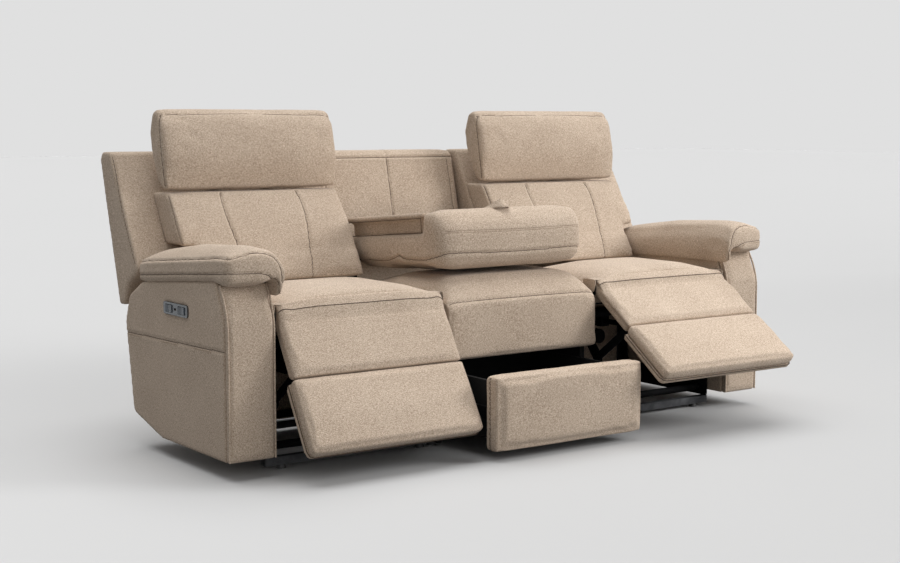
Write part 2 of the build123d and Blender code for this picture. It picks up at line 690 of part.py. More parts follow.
def headrest_cushion():
    """Headrest with a plain crowned face, turning on the hinge rod along its lower edge."""
    y, z = HEAD_PIVOT

    def section(pull, crown):
        outline = [
            (y - 14, z - 14, 13), (y + 14, z - 14, 10), (y + 44, z + 12, 12), (y + 88, z + 99, 160),
            (y + 102, z + 169, 45), (y + 80, z + 234, 26), (y + 44, z + 247, 26), (y - 4 - crown, z + 196, 80),
            (y - 28 - crown, z + 94, 130),
        ]
        return inset(outline, pull) if pull else outline

    centre = (HEAD_INNER + HEAD_OUTER) / 2
    half = (HEAD_OUTER - HEAD_INNER) / 2
    ends = [(half, 7, -10), (half - 10, 2.5, -3), (half - 40, 0, 0), (half - 130, 0, 5)]
    stations = [(centre - off, pull, crown) for off, pull, crown in ends] + [(centre, 0, 8)]
    stations += [(centre + off, pull, crown) for off, pull, crown in ends[::-1]]
    shape = soft([(x, section(pull, crown)) for x, pull, crown in stations])
    shape = shape - rod(HEAD_PIVOT, ROD_RADIUS + RUN_GAP, centre - 192, centre + 192)
    for offset in (-STRAP_OFFSET, STRAP_OFFSET):
        x = (centre + offset - 18, centre + offset + 18)
        shape = shape - block(x, (y - 3, y + 74), (z - 20, z + 34))
    return shape


# Middle unit

def middle_frame():
    """Board box under the middle seat."""
    rear = 700.0
    inner = MIDDLE_HALF - SIDE_BOARD
    boards = [
        block((-MIDDLE_HALF, -inner), (62, rear), (RAIL_BOTTOM, DECK_Z)),
        block((inner, MIDDLE_HALF), (62, rear), (RAIL_BOTTOM, DECK_Z)),
        block((-inner, inner), (62, 62 + SIDE_BOARD), (292, DECK_Z)),
        block((-inner, inner), (rear - SIDE_BOARD, rear), (60, DECK_Z)),
    ]
    return Compound(boards)


def middle_back_frame():
    """Posts and rails that carry the middle back pad behind the table."""
    post = [(676, DECK_Z), *POST_REAR, *POST_FRONT, (742, 556), (714, 440)]
    inner = MIDDLE_HALF - 36.0
    posts = [slab(sharp(post), inner, MIDDLE_HALF), slab(sharp(post), -MIDDLE_HALF, -inner)]
    top_rail = slab(sharp([(835, 850), (866, 850), (876, 884), (843, 884)]), -inner, inner)
    low_rail = slab(sharp([(770, 570), (784, 570), (796, 610), (779.5, 610)]), -inner, inner)
    return Compound(posts + [top_rail, low_rail])


def middle_back_pad():
    """Pad of the middle back with a rolled top and a centre seam."""
    high, low = POST_FRONT

    def section(pull):
        return [
            (low[0] - 30 + pull, low[1], 6), (*low, 0), (*high, 0), (*POST_REAR[-1], 0),
            (884 - pull, 903 - pull, 10),
            (822 + pull, 908 - pull, 20), (804 + pull, 884, 16), (768 + pull, 720, 300),
        ]

    half = MIDDLE_HALF - 3
    return soft([
        (-half, section(9)), (-half + 9, section(2)), (-half + 40, section(0)), (-6, section(0)),
        (0, section(4)), (6, section(0)), (half - 40, section(0)), (half - 9, section(2)), (half, section(9)),
    ])


def rear_panels():
    """Skirts behind the recliners and the cloth panel behind the middle back."""
    skirt_y = REAR_RAIL_Y + CROSS_RADIUS
    panels = []
    for centre in (-SEAT_CENTRE, SEAT_CENTRE):
        across = (centre - PLATE_U + 2, centre + PLATE_U - 2)
        panels.append(block(across, (skirt_y, skirt_y + REAR_SHEET), (RAIL_TOP + 4, 385)))
    low, mid, top = POST_REAR
    sheet = [low] + [(y + REAR_SHEET, z) for y, z in POST_REAR] + [top, mid]
    panels.append(slab(sharp(sheet), -MIDDLE_HALF, MIDDLE_HALF))
    return Compound(panels)


def base_rails():
    """Hollow steel rails under each recliner."""
    rails = []
    for centre in (-SEAT_CENTRE, SEAT_CENTRE):
        x = (centre - PLATE_U - PLATE - 1, centre + PLATE_U + PLATE + 1)
        for y in (FRONT_RAIL_Y, REAR_RAIL_Y):
            tube = block(x, (y, y + RAIL_DEPTH), (RAIL_BOTTOM, RAIL_TOP))
            rails.append(tube - block(x, (y + 3, y + RAIL_DEPTH - 3), (RAIL_BOTTOM + 3, RAIL_TOP - 3)))
    return Compound(rails)


def feet():
    """Tapered glides under the rails and the middle box."""
    glide = Pos(0, 0, RAIL_BOTTOM / 2) * Cone(15, 12, RAIL_BOTTOM)
    places = []
    outer, inner = SEAT_CENTRE + PLATE_U - 53, SEAT_CENTRE - PLATE_U + 33
    for x in (-outer, -inner, inner, outer):
        places += [(x, FRONT_RAIL_Y + RAIL_DEPTH / 2), (x, REAR_RAIL_Y + RAIL_DEPTH / 2)]
    for x in (-MIDDLE_HALF + SIDE_BOARD / 2, MIDDLE_HALF - SIDE_BOARD / 2):
        places += [(x, 110), (x, 660)]
    return Compound([Pos(x, y, 0) * glide for x, y in places])


# Drop-down table, modelled level and then tilted

def table_cushion():
    """Padded underside and nose of the table, bored for the hinge studs."""
    def section(pull, rise, lift):
        return [
            (50 + pull, 522 + rise, 50), (300, 524 + rise - lift, 500), (604 - rise, 541 + rise, 28),
            (604 - rise, TRAY_FLOOR, 4), (TRAY_FRONT, TRAY_FLOOR, 0), (*NOSE_REAR, 4),
            (NOSE_FRONT[0] + 0.6 * pull, NOSE_FRONT[1] - 0.2 * pull, 40), (40 + pull, 640, 70),
        ]

    half = TABLE_HALF
    ends = [
        (half, 44, 18, 0), (half - 8, 24, 9, 0), (half - 22, 10, 4, 0), (half - 45, 3, 1, 1), (half - 80, 0, 0, 3),
    ]
    stations = [(-x, pull, rise, lift) for x, pull, rise, lift in ends] + [(0, 0, 0, 6)] + ends[::-1]
    shape = soft([(x, section(pull, rise, lift)) for x, pull, rise, lift in stations])
    for x in ((half - 20, half), (-half, -half + 20)):
        shape = shape - rod(TABLE_PIVOT, TABLE_STUD + RUN_GAP, *x)
    return swing(shape, TABLE_PIVOT, TABLE_TILT)


def table_tray():
    """Tray on a narrower core: a rim round a sunk top, bored for the cups."""
    core = block((-TABLE_HALF + 24, TABLE_HALF - 24), (TRAY_FRONT, TRAY_REAR - 6), (TRAY_FLOOR, TRAY_UNDER))
    outline = RectangleRounded(2 * TABLE_HALF, TRAY_REAR - TRAY_FRONT, 10)
    middle = Pos(0, (TRAY_FRONT + TRAY_REAR) / 2)
    board = extrude(Plane.XY.offset(TRAY_UNDER) * middle * outline, TRAY_TOP - TRAY_UNDER)
    inner = (-TABLE_HALF + 22, TABLE_HALF - 22)
    recess = block(inner, (TRAY_FRONT + 20, TRAY_REAR - 20), (TRAY_TOP - TRAY_SINK, TRAY_TOP))
    tray = core + board - recess
    for x in (-CUP_X, CUP_X):
        tray = tray - Pos(x, CUP_Y, (TRAY_FLOOR + TRAY_TOP) / 2) * Cylinder(CUP_RADIUS + RUN_GAP, 80)
    return swing(tray, TABLE_PIVOT, TABLE_TILT)


def cup_holders():
    """Turned cups with a lip that lies on the tray."""
    floor, lip, wall = TRAY_FLOOR, TRAY_TOP - TRAY_SINK, 2.0
    inner, flange, edge = CUP_RADIUS - wall, CUP_RADIUS + 7, lip + 2.5
    profile = make_face(Polyline(
        (0, floor), (CUP_RADIUS, floor), (CUP_RADIUS, lip), (flange, lip), (flange, edge), (inner, edge),
        (inner, floor + wall), (0, floor + wall), close=True,
    ))
    cup = revolve(Plane.XZ * profile, Axis.Z, 360)
    return swing(Compound([Pos(x, CUP_Y, 0) * cup for x in (-CUP_X, CUP_X)]), TABLE_PIVOT, TABLE_TILT)


def strap_rise(x):
    """Height of the strap's band above its tabs and its slope there."""
    low, high = STRAP_X
    half = (high - low) / 2 - STRAP_TAB
    share = min(abs(x - (low + high) / 2) / half, 1.0)
    slope = STRAP_RISE * math.pi / 2 * math.sin(math.pi * share) / half
    return STRAP_RISE * (1 + math.cos(math.pi * share)) / 2, slope


def pull_strap():
    """Band stitched to the table's nose at both ends, bowed up and leaning forward between them."""
    low, high = STRAP_X
    steps = 14
    run = high - low - 2 * STRAP_TAB
    places = [low] + [low + STRAP_TAB + run * i / steps for i in range(steps + 1)] + [high]
    sections = []
    for x in places:
        rise, slope = strap_rise(x)
        thick = STRAP_THICK * math.hypot(1, slope)
        front = -STRAP_WIDTH / 2 - STRAP_LEAN * rise
        rear = front + STRAP_WIDTH
        sections.append((x, sharp([(front, rise), (rear, rise), (rear, rise + thick), (front, rise + thick)])))
    slope = math.atan2(NOSE_FRONT[1] - NOSE_REAR[1], NOSE_REAR[0] - NOSE_FRONT[0])
    z = NOSE_REAR[1] + (NOSE_REAR[0] - STRAP_Y) * math.tan(slope)
    strap = Pos(0, STRAP_Y, z + 0.2) * (Rot(-math.degrees(slope), 0, 0) * soft(sections))
    return swing(strap, TABLE_PIVOT, TABLE_TILT)


def table_hinge_brackets():
    """Plates on the box sides with the studs that the table turns on."""
    y, z = TABLE_PIVOT
    outline = [
        (y - 30, 325, 8), (y + 50, 325, 8), (y + 50, 420, 20), (y + 15, z + 15, 14), (y - 15, z + 15, 14),
        (y - 30, 420, 20),
    ]

    def make():
        stud = rod(TABLE_PIVOT, TABLE_STUD, TABLE_HALF - 18, MIDDLE_HALF + 1)
        return slab(outline, MIDDLE_HALF, MIDDLE_HALF + PLATE) + stud

    return Compound(paired(make, 0))


# Drawer, shown partly open

def drawer_shift(part):
    return Pos(0, -DRAWER_OPEN, 0) * part


def drawer_box():
    """Open board box behind the drawer's front."""
    front = DRAWER_FRONT_THICK
    box = block((-DRAWER_HALF, DRAWER_HALF), (front, front + DRAWER_DEPTH), (DRAWER_BOTTOM, DRAWER_TOP))
    inside = block(
        (-DRAWER_HALF + DRAWER_WALL, DRAWER_HALF - DRAWER_WALL),
        (front + DRAWER_WALL, front + DRAWER_DEPTH - DRAWER_WALL),
        (DRAWER_BOTTOM + 8, DRAWER_TOP),
    )
    return drawer_shift(box - inside)


def drawer_front():
    """Padded front of the drawer."""
    low, high = DRAWER_FRONT_Z
    thick = DRAWER_FRONT_THICK

    def section(pull, bulge):
        return [
            (pull, low + pull, 12), (thick, low + pull, 4), (thick, high - pull, 4), (pull, high - pull, 14),
            (pull - bulge, (low + high) / 2, 400),
        ]

    half = MIDDLE_HALF - 8
    return drawer_shift(soft([
        (-half, section(10, 2)), (-half + 10, section(2, 3)), (-half + 50, section(0, 5)), (0, section(0, 7)),
        (half - 50, section(0, 5)), (half - 10, section(2, 3)), (half, section(10, 2)),
    ]))


def drawer_slides():
    """Bars on the drawer's sides that run between the lips of the channels."""
    def make():
        y = (DRAWER_FRONT_THICK + 8, DRAWER_FRONT_THICK + DRAWER_DEPTH - DRAWER_WALL)
        z = (CHANNEL_Z[0] + CHANNEL_LIP + RUN_GAP, CHANNEL_Z[1] - CHANNEL_LIP - RUN_GAP)
        return block((DRAWER_HALF, DRAWER_HALF + SLIDE_THICK), y, z)

    return drawer_shift(Compound(paired(make, 0)))


def drawer_channels():
    """Steel channels on the side boards, open toward the drawer."""
    inner = MIDDLE_HALF - SIDE_BOARD

    def make():
        y = (66, 560)
        low, high = CHANNEL_Z
        x = (inner - CHANNEL_REACH, inner)
        web = block((inner - CHANNEL_WEB, inner), y, CHANNEL_Z)
        return union([web, block(x, y, (low, low + CHANNEL_LIP)), block(x, y, (high - CHANNEL_LIP, high))])

    return Compound(paired(make, 0))


def to_side(part, side):
    return part if side > 0 else mirror(part, about=Plane.YZ)


def recliner_pieces(side):
    """Every piece of one recliner and its arm, by name without the side."""
    angle = footrest_angle(side)
    return {
        "arm_cover": arm_cover(),
        "arm_front": arm_front(),
        "arm_pillow": arm_pillow(),
        "switch_bezel": switch_bezel(),
        "rocker_front": rocker(-ROCKER_OFFSET),
        "rocker_rear": rocker(ROCKER_OFFSET),
        "seat_cushion": seat_cushion(),
        "seat_frame": seat_frame(),
        "leg_pad": swing(leg_pad(), HINGE, angle),
        "foot_pad": swing(foot_pad(), HINGE, angle),
        "foot_board": swing(foot_board(), HINGE, angle),
        "foot_brackets": swing(foot_brackets(), HINGE, angle),
        "drive_tube": swing(drive_tube(), DRIVE_AXIS, angle),
        "coupler_links": coupler_links(side),
        "actuator_motor": actuator_motor(),
        "actuator_rod": actuator_rod(side),
        "back_cover": back_cover(),
        "back_frame": back_frame(),
        "back_hardware": back_hardware(),
        "lumbar_cushion": lumbar_cushion(),
        "headrest_cushion": headrest_cushion(),
    }


def all_pieces():
    pieces = {
        "arm_frames": Compound([arm_frame(), mirror(arm_frame(), about=Plane.YZ)]),
        "seat_webbing": seat_webbing(),
        "base_rails": base_rails(),
        "feet": feet(),
        "rear_panels": rear_panels(),
        "middle_seat_cushion": middle_seat_cushion(),
        "middle_frame": middle_frame(),
        "middle_back_frame": middle_back_frame(),
        "middle_back_pad": middle_back_pad(),
        "table_cushion": table_cushion(),
        "table_tray": table_tray(),
        "cup_holders": cup_holders(),
        "pull_strap": pull_strap(),
        "table_hinge_brackets": table_hinge_brackets(),
        "drawer_box": drawer_box(),
        "drawer_front": drawer_front(),
        "drawer_slides": drawer_slides(),
        "drawer_channels": drawer_channels(),
    }
    for name, side in (("left", -1), ("right", 1)):
        for piece, part in recliner_pieces(side).items():
            pieces[f"{name}_{piece}"] = to_side(part, side)
    return pieces


def main():
    os.makedirs("parts", exist_ok=True)
    for name, part in all_pieces().items():
        export_step(Pos(0, -ORIGIN_Y, 0) * part, f"parts/{name}.step")


if __name__ == "__main__":
    main()
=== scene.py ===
"""Looks of a power reclining sofa with a fold-down table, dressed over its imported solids.

Lengths in the seam tables are millimetres in the maker's frame: X from the sofa's centre, Y from the
arm fronts to the rear, Z from the floor. place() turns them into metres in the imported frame.
Right-hand pieces are made first, with the footrest hanging straight down, and reflected for the left.
"""

from __future__ import annotations

import json
import logging
import math
from dataclasses import dataclass, field
from enum import Enum
from typing import Callable, Optional, Sequence

import bmesh
import bpy
import numpy as np
from bpy.types import Material, Mesh, Node, NodeSocket, Object
from mathutils import Matrix, Vector, noise
from mathutils.bvhtree import BVHTree

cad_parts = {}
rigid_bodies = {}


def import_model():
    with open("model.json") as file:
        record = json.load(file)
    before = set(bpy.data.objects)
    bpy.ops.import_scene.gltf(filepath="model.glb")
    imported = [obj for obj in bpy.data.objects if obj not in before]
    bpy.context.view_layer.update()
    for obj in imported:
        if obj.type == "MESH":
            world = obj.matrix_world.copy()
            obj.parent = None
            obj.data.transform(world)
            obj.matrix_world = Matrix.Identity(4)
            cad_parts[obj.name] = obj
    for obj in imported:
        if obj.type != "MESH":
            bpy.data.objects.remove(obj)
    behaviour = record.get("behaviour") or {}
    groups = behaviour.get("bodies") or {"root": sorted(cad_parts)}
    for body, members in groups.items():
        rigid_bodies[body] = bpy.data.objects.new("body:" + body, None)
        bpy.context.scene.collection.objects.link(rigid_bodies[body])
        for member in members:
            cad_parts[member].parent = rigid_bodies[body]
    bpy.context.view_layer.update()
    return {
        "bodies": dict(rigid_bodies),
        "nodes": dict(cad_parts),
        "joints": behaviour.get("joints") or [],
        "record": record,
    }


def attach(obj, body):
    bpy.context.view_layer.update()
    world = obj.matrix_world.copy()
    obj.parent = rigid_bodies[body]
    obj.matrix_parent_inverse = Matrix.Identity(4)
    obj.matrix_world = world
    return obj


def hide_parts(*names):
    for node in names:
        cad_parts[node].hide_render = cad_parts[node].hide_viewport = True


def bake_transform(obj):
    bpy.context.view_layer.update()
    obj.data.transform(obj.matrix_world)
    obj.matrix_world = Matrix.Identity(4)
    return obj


LOG = logging.getLogger("sofa")
MM = 0.001
FRONT_Y = -282.1  # the arm fronts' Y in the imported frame, millimetres
CLOTH_FRAMES = 20
SEAM_STEP = 0.004  # metres between places along a seam
TRIM_STEP = 0.006  # metres between places along piping, hems and rims
STRIP_STEP = 0.5  # millimetres between places across a knee cover
SHEET_THICK = 0.002  # metres of cloth in covers and rear panels
BATCH = 4000  # vertices compared with a path at one time
Point = tuple[float, float, float]
Profile = Sequence[tuple[float, float]]
Plate = tuple[Profile, float, float]  # outline and two X places


def place(x: float, y: float, z: float) -> Vector:
    """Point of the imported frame, in metres, for a point in the maker's frame."""
    return Vector((x * MM, (y + FRONT_Y) * MM, z * MM))


def srgb(red: int, green: int, blue: int) -> tuple[float, float, float, float]:
    """Linear colour for an 8-bit display colour."""
    def linear(value: int) -> float:
        share = value / 255
        return share / 12.92 if share <= 0.04045 else ((share + 0.055) / 1.055) ** 2.4

    return linear(red), linear(green), linear(blue), 1.0


class Side(Enum):
    """Which recliner a piece belongs to."""

    LEFT = -1
    RIGHT = 1

    @property
    def label(self) -> str:
        """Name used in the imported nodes."""
        return self.name.lower()


class Stitching(Enum):
    """Rows of visible thread beside a seam, by their distances from it in metres."""

    NONE = ()
    SINGLE = (0.006,)
    TOP_ONLY = (-0.003, 0.003)


# Nodes and finishes


def add_node(tree: bpy.types.NodeTree, kind: str, settings: Optional[dict] = None, **inputs) -> Node:
    """Add a node to a tree.

    Args:
        tree: shader or geometry node tree.
        kind: node type.
        settings: node properties to set.
        inputs: values or output sockets by input name, with underscores for spaces, or by i and its number.

    Returns:
        The new node.
    """
    node = tree.nodes.new(kind)
    for key, value in (settings or {}).items():
        setattr(node, key, value)
    for key, value in inputs.items():
        numbered = key[0] == "i" and key[1:].isdigit()
        socket = node.inputs[int(key[1:]) if numbered else key.replace("_", " ")]
        if isinstance(value, NodeSocket):
            tree.links.new(value, socket)
        else:
            socket.default_value = value
    return node


class Shader:
    """Material under construction, with short calls for its nodes."""

    def __init__(self, name: str) -> None:
        """Start an empty material of that name."""
        self.material = bpy.data.materials.new(name)
        self.material.use_nodes = True
        self.tree = self.material.node_tree
        self.tree.nodes.clear()

    def add(self, kind: str, settings: Optional[dict] = None, **inputs) -> Node:
        """Add a node by its type without the ShaderNode prefix."""
        return add_node(self.tree, "ShaderNode" + kind, settings, **inputs)

    def math(self, operation: str, first, second=0.0) -> NodeSocket:
        """Result of a math node on two values or sockets."""
        return self.add("Math", {"operation": operation}, i0=first, i1=second).outputs[0]

    def weighed(self, value: NodeSocket, weight: float, rest) -> NodeSocket:
        """A value times its weight, added to the rest."""
        return self.math("ADD", self.math("MULTIPLY", value, weight), rest)

    def average(self, values: Sequence[NodeSocket]) -> NodeSocket:
        """Mean of three values."""
        first, second, third = values
        return self.math("DIVIDE", self.math("ADD", self.math("ADD", first, second), third), 3.0)

    def ramp(self, factor: NodeSocket, stops: Sequence[tuple[float, tuple]]) -> NodeSocket:
        """Colour of a ramp through (position, colour) stops."""
        node = self.add("ValToRGB", Fac=factor)
        elements = node.color_ramp.elements
        while len(elements) < len(stops):
            elements.new(0.5)
        for element, (position, colour) in zip(elements, stops):
            element.position = position
            element.color = colour
        return node.outputs["Color"]

    def noise(self, vector: NodeSocket, scale: float, detail: float = 2.0, rough: float = 0.5) -> NodeSocket:
        """Value of a noise texture."""
        return self.add("TexNoise", Vector=vector, Scale=scale, Detail=detail, Roughness=rough).outputs["Fac"]

    def wave(self, vector: NodeSocket, direction: str, scale: float, **more: float) -> NodeSocket:
        """Value of a texture of bands."""
        settings = {"wave_type": "BANDS", "bands_direction": direction}
        return self.add("TexWave", settings, Vector=vector, Scale=scale, **more).outputs["Fac"]

    def stretched(self, vector: NodeSocket, scale: Point) -> NodeSocket:
        """Coordinates scaled differently along each axis."""
        return self.add("Mapping", Vector=vector, Scale=scale).outputs["Vector"]

    def coordinates(self) -> NodeSocket:
        """Object coordinates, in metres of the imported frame."""
        return self.add("TexCoord").outputs["Object"]

    def bump(self, height: NodeSocket, strength: float, distance: float) -> NodeSocket:
        """Normal raised by a height."""
        return self.add("Bump", Height=height, Strength=strength, Distance=distance).outputs["Normal"]

    def close(self, **surface) -> Material:
        """Finish with one principled surface and return the material."""
        shader = self.add("BsdfPrincipled", **surface)
        self.add("OutputMaterial", Surface=shader.outputs[0])
        return self.material


def bands(pitch: float) -> float:
    """Scale of a wave texture whose bands lie a pitch apart, in metres."""
    return 2 * math.pi / (20 * pitch)


@dataclass(frozen=True)
class Finish:
    """Procedural material whose kinds say what goes into its surface."""

    name: str

    def surface(self, shader: Shader, here: NodeSocket) -> dict[str, object]:
        """Inputs of the principled surface, from coordinates in metres."""
        raise NotImplementedError

    def build(self) -> Material:
        """Make the material."""
        shader = Shader(self.name)
        return shader.close(**self.surface(shader, shader.coordinates()))


@dataclass(frozen=True)
class WovenCloth(Finish):
    """Heathered upholstery cloth: flecked yarns along the three directions of the weave."""

    dark: tuple
    middle: tuple
    light: tuple
    yarn_long: float = 170.0
    yarn_thin: float = 640.0
    pitch: float = 0.0027
    relief: float = 0.0005

    def surface(self, shader: Shader, here: NodeSocket) -> dict[str, object]:
        """Inputs of the principled surface."""
        yarns = []
        for axis in range(3):
            scale = [self.yarn_thin] * 3
            scale[axis] = self.yarn_long
            yarns.append(shader.noise(shader.stretched(here, tuple(scale)), 1.0, 3.0, 0.7))
        fine = shader.math("SUBTRACT", shader.noise(here, 900.0, 1.0), 0.5)
        fleck = shader.weighed(fine, 0.10, shader.average(yarns))
        broad = shader.math("SUBTRACT", shader.noise(here, 7.0, 3.0), 0.5)
        tone = shader.weighed(broad, 0.05, fleck)
        colour = shader.ramp(tone, [(0.40, self.dark), (0.50, self.middle), (0.61, self.light)])
        twist = {"Distortion": 1.2, "Detail": 1.0, "Detail_Scale": 2.0}
        waves = [shader.wave(here, direction, bands(self.pitch), **twist) for direction in "XYZ"]
        weave = shader.math("ADD", shader.math("ADD", waves[0], waves[1]), waves[2])
        normal = shader.bump(shader.weighed(weave, 0.25, fleck), 0.55, self.relief)
        return dict(Base_Color=colour, Roughness=0.93, Normal=normal, Sheen_Weight=0.12,
                    Sheen_Roughness=0.5, Specular_IOR_Level=0.2)


@dataclass(frozen=True)
class Thread(Finish):
    """Twisted sewing thread; its dark kind is laid in seam grooves and joints as painted shade."""

    dark: tuple
    light: tuple

    def surface(self, shader: Shader, here: NodeSocket) -> dict[str, object]:
        """Inputs of the principled surface."""
        twist = shader.noise(here, 1500.0, 2.0)
        colour = shader.ramp(twist, [(0.35, self.dark), (0.65, self.light)])
        return dict(Base_Color=colour, Roughness=0.8, Normal=shader.bump(twist, 0.4, 0.0003))


@dataclass(frozen=True)
class CoatedSteel(Finish):
    """Powder-coated steel: fine orange peel, worn slightly brighter in places."""

    colour: tuple
    worn: tuple
    roughness: float = 0.45

    def surface(self, shader: Shader, here: NodeSocket) -> dict[str, object]:
        """Inputs of the principled surface."""
        peel = shader.noise(here, 700.0, 2.0)
        wear = shader.noise(here, 22.0, 5.0, 0.65)
        colour = shader.ramp(wear, [(0.45, self.colour), (0.75, self.worn)])
        rough = shader.weighed(wear, 0.25, self.roughness - 0.12)
        return dict(Base_Color=colour, Roughness=rough, Normal=shader.bump(peel, 0.25, 0.0004),
                    Specular_IOR_Level=0.08)


@dataclass(frozen=True)
class PolishedMetal(Finish):
    """Bright or brushed metal with faint turning lines."""

    colour: tuple
    roughness: float
    lines: Point = (30.0, 900.0, 900.0)

    def surface(self, shader: Shader, here: NodeSocket) -> dict[str, object]:
        """Inputs of the principled surface."""
        scratch = shader.noise(shader.stretched(here, self.lines), 1.0, 3.0, 0.6)
        rough = shader.weighed(scratch, 0.14, self.roughness - 0.07)
        shaded = tuple(0.85 * c for c in self.colour[:3]) + (1.0,)
        tint = shader.ramp(scratch, [(0.3, shaded), (0.7, self.colour)])
        normal = shader.bump(scratch, 0.08, 0.0002)
        return dict(Base_Color=tint, Metallic=1.0, Roughness=rough, Normal=normal)


@dataclass(frozen=True)
class MouldedPlastic(Finish):
    """Moulded plastic with a fine spark-eroded grain."""

    colour: tuple
    highlight: tuple
    roughness: float = 0.5

    def surface(self, shader: Shader, here: NodeSocket) -> dict[str, object]:
        """Inputs of the principled surface."""
        grain = shader.noise(here, 1400.0, 2.0)
        tone = shader.noise(here, 60.0, 3.0)
        colour = shader.ramp(tone, [(0.35, self.colour), (0.7, self.highlight)])
        normal = shader.bump(grain, 0.2, 0.0002)
        return dict(Base_Color=colour, Roughness=self.roughness, Normal=normal)


@dataclass(frozen=True)
class SawnWood(Finish):
    """Sawn softwood or plywood with stretched grain."""

    early: tuple
    late: tuple
    along: Point = (6.0, 90.0, 90.0)

    def surface(self, shader: Shader, here: NodeSocket) -> dict[str, object]:
        """Inputs of the principled surface."""
        here = shader.stretched(here, self.along)
        bend = shader.noise(here, 0.6, 3.0)
        rings = shader.wave(here, "Z", 0.35, Distortion=5.0, Detail=3.0, Detail_Scale=1.2)
        grain = shader.weighed(rings, 0.6, shader.math("MULTIPLY", bend, 0.4))
        colour = shader.ramp(grain, [(0.2, self.early), (0.8, self.late)])
        return dict(Base_Color=colour, Roughness=0.75, Normal=shader.bump(grain, 0.25, 0.0006))


@dataclass(frozen=True)
class DustCloth(Finish):
    """Black bonded dust cloth and webbing: felted specks over a faint grid."""

    dark: tuple
    light: tuple
    pitch: float = 0.004

    def surface(self, shader: Shader, here: NodeSocket) -> dict[str, object]:
        """Inputs of the principled surface."""
        specks = shader.noise(here, 450.0, 4.0, 0.7)
        grid = shader.wave(here, "DIAGONAL", bands(self.pitch), Distortion=0.6)
        height = shader.weighed(grid, 0.3, specks)
        colour = shader.ramp(height, [(0.45, self.dark), (0.95, self.light)])
        return dict(Base_Color=colour, Roughness=0.9, Normal=shader.bump(height, 0.4, 0.0006),
                    Specular_IOR_Level=0.2)


class Finishes:
    """Every material of the sofa, made once."""

    def __init__(self) -> None:
        """Make the materials."""
        yarns = srgb(136, 116, 97), srgb(186, 167, 148), srgb(230, 213, 194)
        self.cloth = WovenCloth("heather_cloth", *yarns).build()
        # Dark brown cord colour laid in seam grooves and joints: painted shade of the seams, not a thread
        # colour of the cloth.
        self.thread = Thread("seam_thread", srgb(62, 51, 41), srgb(92, 77, 63)).build()
        self.stitch = Thread("stitch_thread", srgb(128, 109, 91), srgb(176, 156, 136)).build()
        self.black_steel = CoatedSteel("black_steel", srgb(12, 12, 13), srgb(24, 24, 25), 0.78).build()
        self.rail_steel = CoatedSteel("rail_steel", srgb(70, 71, 73), srgb(98, 99, 101), 0.5).build()
        self.wood = SawnWood("frame_wood", srgb(196, 164, 120), srgb(160, 122, 80)).build()
        self.dust = DustCloth("dust_cloth", srgb(17, 17, 17), srgb(34, 34, 34)).build()
        self.web = DustCloth("seat_web", srgb(22, 22, 23), srgb(46, 46, 48), 0.006).build()
        self.glide = MouldedPlastic("glide_plastic", srgb(18, 18, 18), srgb(34, 34, 34)).build()
        self.chrome = PolishedMetal("cup_chrome", (0.78, 0.79, 0.80, 1.0), 0.16).build()
        self.gunmetal = PolishedMetal("switch_gunmetal", (0.16, 0.17, 0.18, 1.0), 0.38).build()
        self.key = MouldedPlastic("switch_key", srgb(38, 46, 54), srgb(62, 72, 82), 0.32).build()


# Mesh tools


def make_object(name: str, mesh: Mesh) -> Object:
    """Link a new object at the origin."""
    piece = bpy.data.objects.new(name, mesh)
    bpy.context.scene.collection.objects.link(piece)
    return piece


def vertices_of(mesh: Mesh) -> np.ndarray:
    """Vertex places as an array of rows."""
    flat = np.empty(len(mesh.vertices) * 3, np.float64)
    mesh.vertices.foreach_get("co", flat)
    return flat.reshape(-1, 3)


def set_vertices(mesh: Mesh, places: np.ndarray) -> None:
    """Write vertex places back to a mesh."""
    mesh.vertices.foreach_set("co", np.ascontiguousarray(places, np.float32).ravel())
    mesh.update()


def normals_of(mesh: Mesh) -> np.ndarray:
    """Vertex normals as an array of rows."""
    flat = np.empty(len(mesh.vertices) * 3, np.float32)
    mesh.vertex_normals.foreach_get("vector", flat)
    return flat.reshape(-1, 3).astype(np.float64)


def bake(piece: Object) -> None:
    """Turn an object's modifiers into plain mesh."""
    graph = bpy.context.evaluated_depsgraph_get()
    mesh = bpy.data.meshes.new_from_object(piece.evaluated_get(graph))
    piece.modifiers.clear()
    old = piece.data
    piece.data = mesh
    bpy.data.meshes.remove(old)


def discard(piece: Object) -> None:
    """Remove a working object with its mesh."""
    mesh = piece.data
    bpy.data.objects.remove(piece)
    bpy.data.meshes.remove(mesh)


def smooth_faces(mesh: Mesh) -> None:
    """Shade every face smoothly."""
    mesh.polygons.foreach_set("use_smooth", [True] * len(mesh.polygons))
    mesh.update()


def fill_box(places: np.ndarray, low: np.ndarray, high: np.ndarray) -> np.ndarray:
    """Places stretched so that they reach a box's corners again."""
    first, last = places.min(0), places.max(0)
    return (places - first) / (last - first) * (high - low) + low


def even_out(values: np.ndarray, mesh: Mesh, rounds: int) -> np.ndarray:
    """Values of a mesh's vertices averaged with their neighbours."""
    flat = np.empty(len(mesh.edges) * 2, np.int32)
    mesh.edges.foreach_get("vertices", flat)
    first, last = flat[0::2], flat[1::2]
    size = len(values)
    count = np.bincount(flat, minlength=size)
    for _ in range(rounds):
        total = np.bincount(first, values[last], size) + np.bincount(last, values[first], size)
        values = 0.4 * values + 0.6 * total / np.maximum(count, 1)
    return values


def fall(values: np.ndarray, start: float, span: float) -> np.ndarray:
    """Share that grows from 0 at a start to 1 at a span below it."""
    return np.clip((start - values) / span, 0, 1)


def ahead_of(places: np.ndarray, y: float, span: float) -> np.ndarray:
    """Share that grows from 0 at a Y of the maker's frame to 1 at a span, in metres, ahead of it."""
    return fall(places[:, 1], place(0, y, 0).y, span)


def quarter(share: np.ndarray) -> np.ndarray:
    """Fall of a quarter round, by the share of its radius."""
    return 1 - np.sqrt(1 - share ** 2)


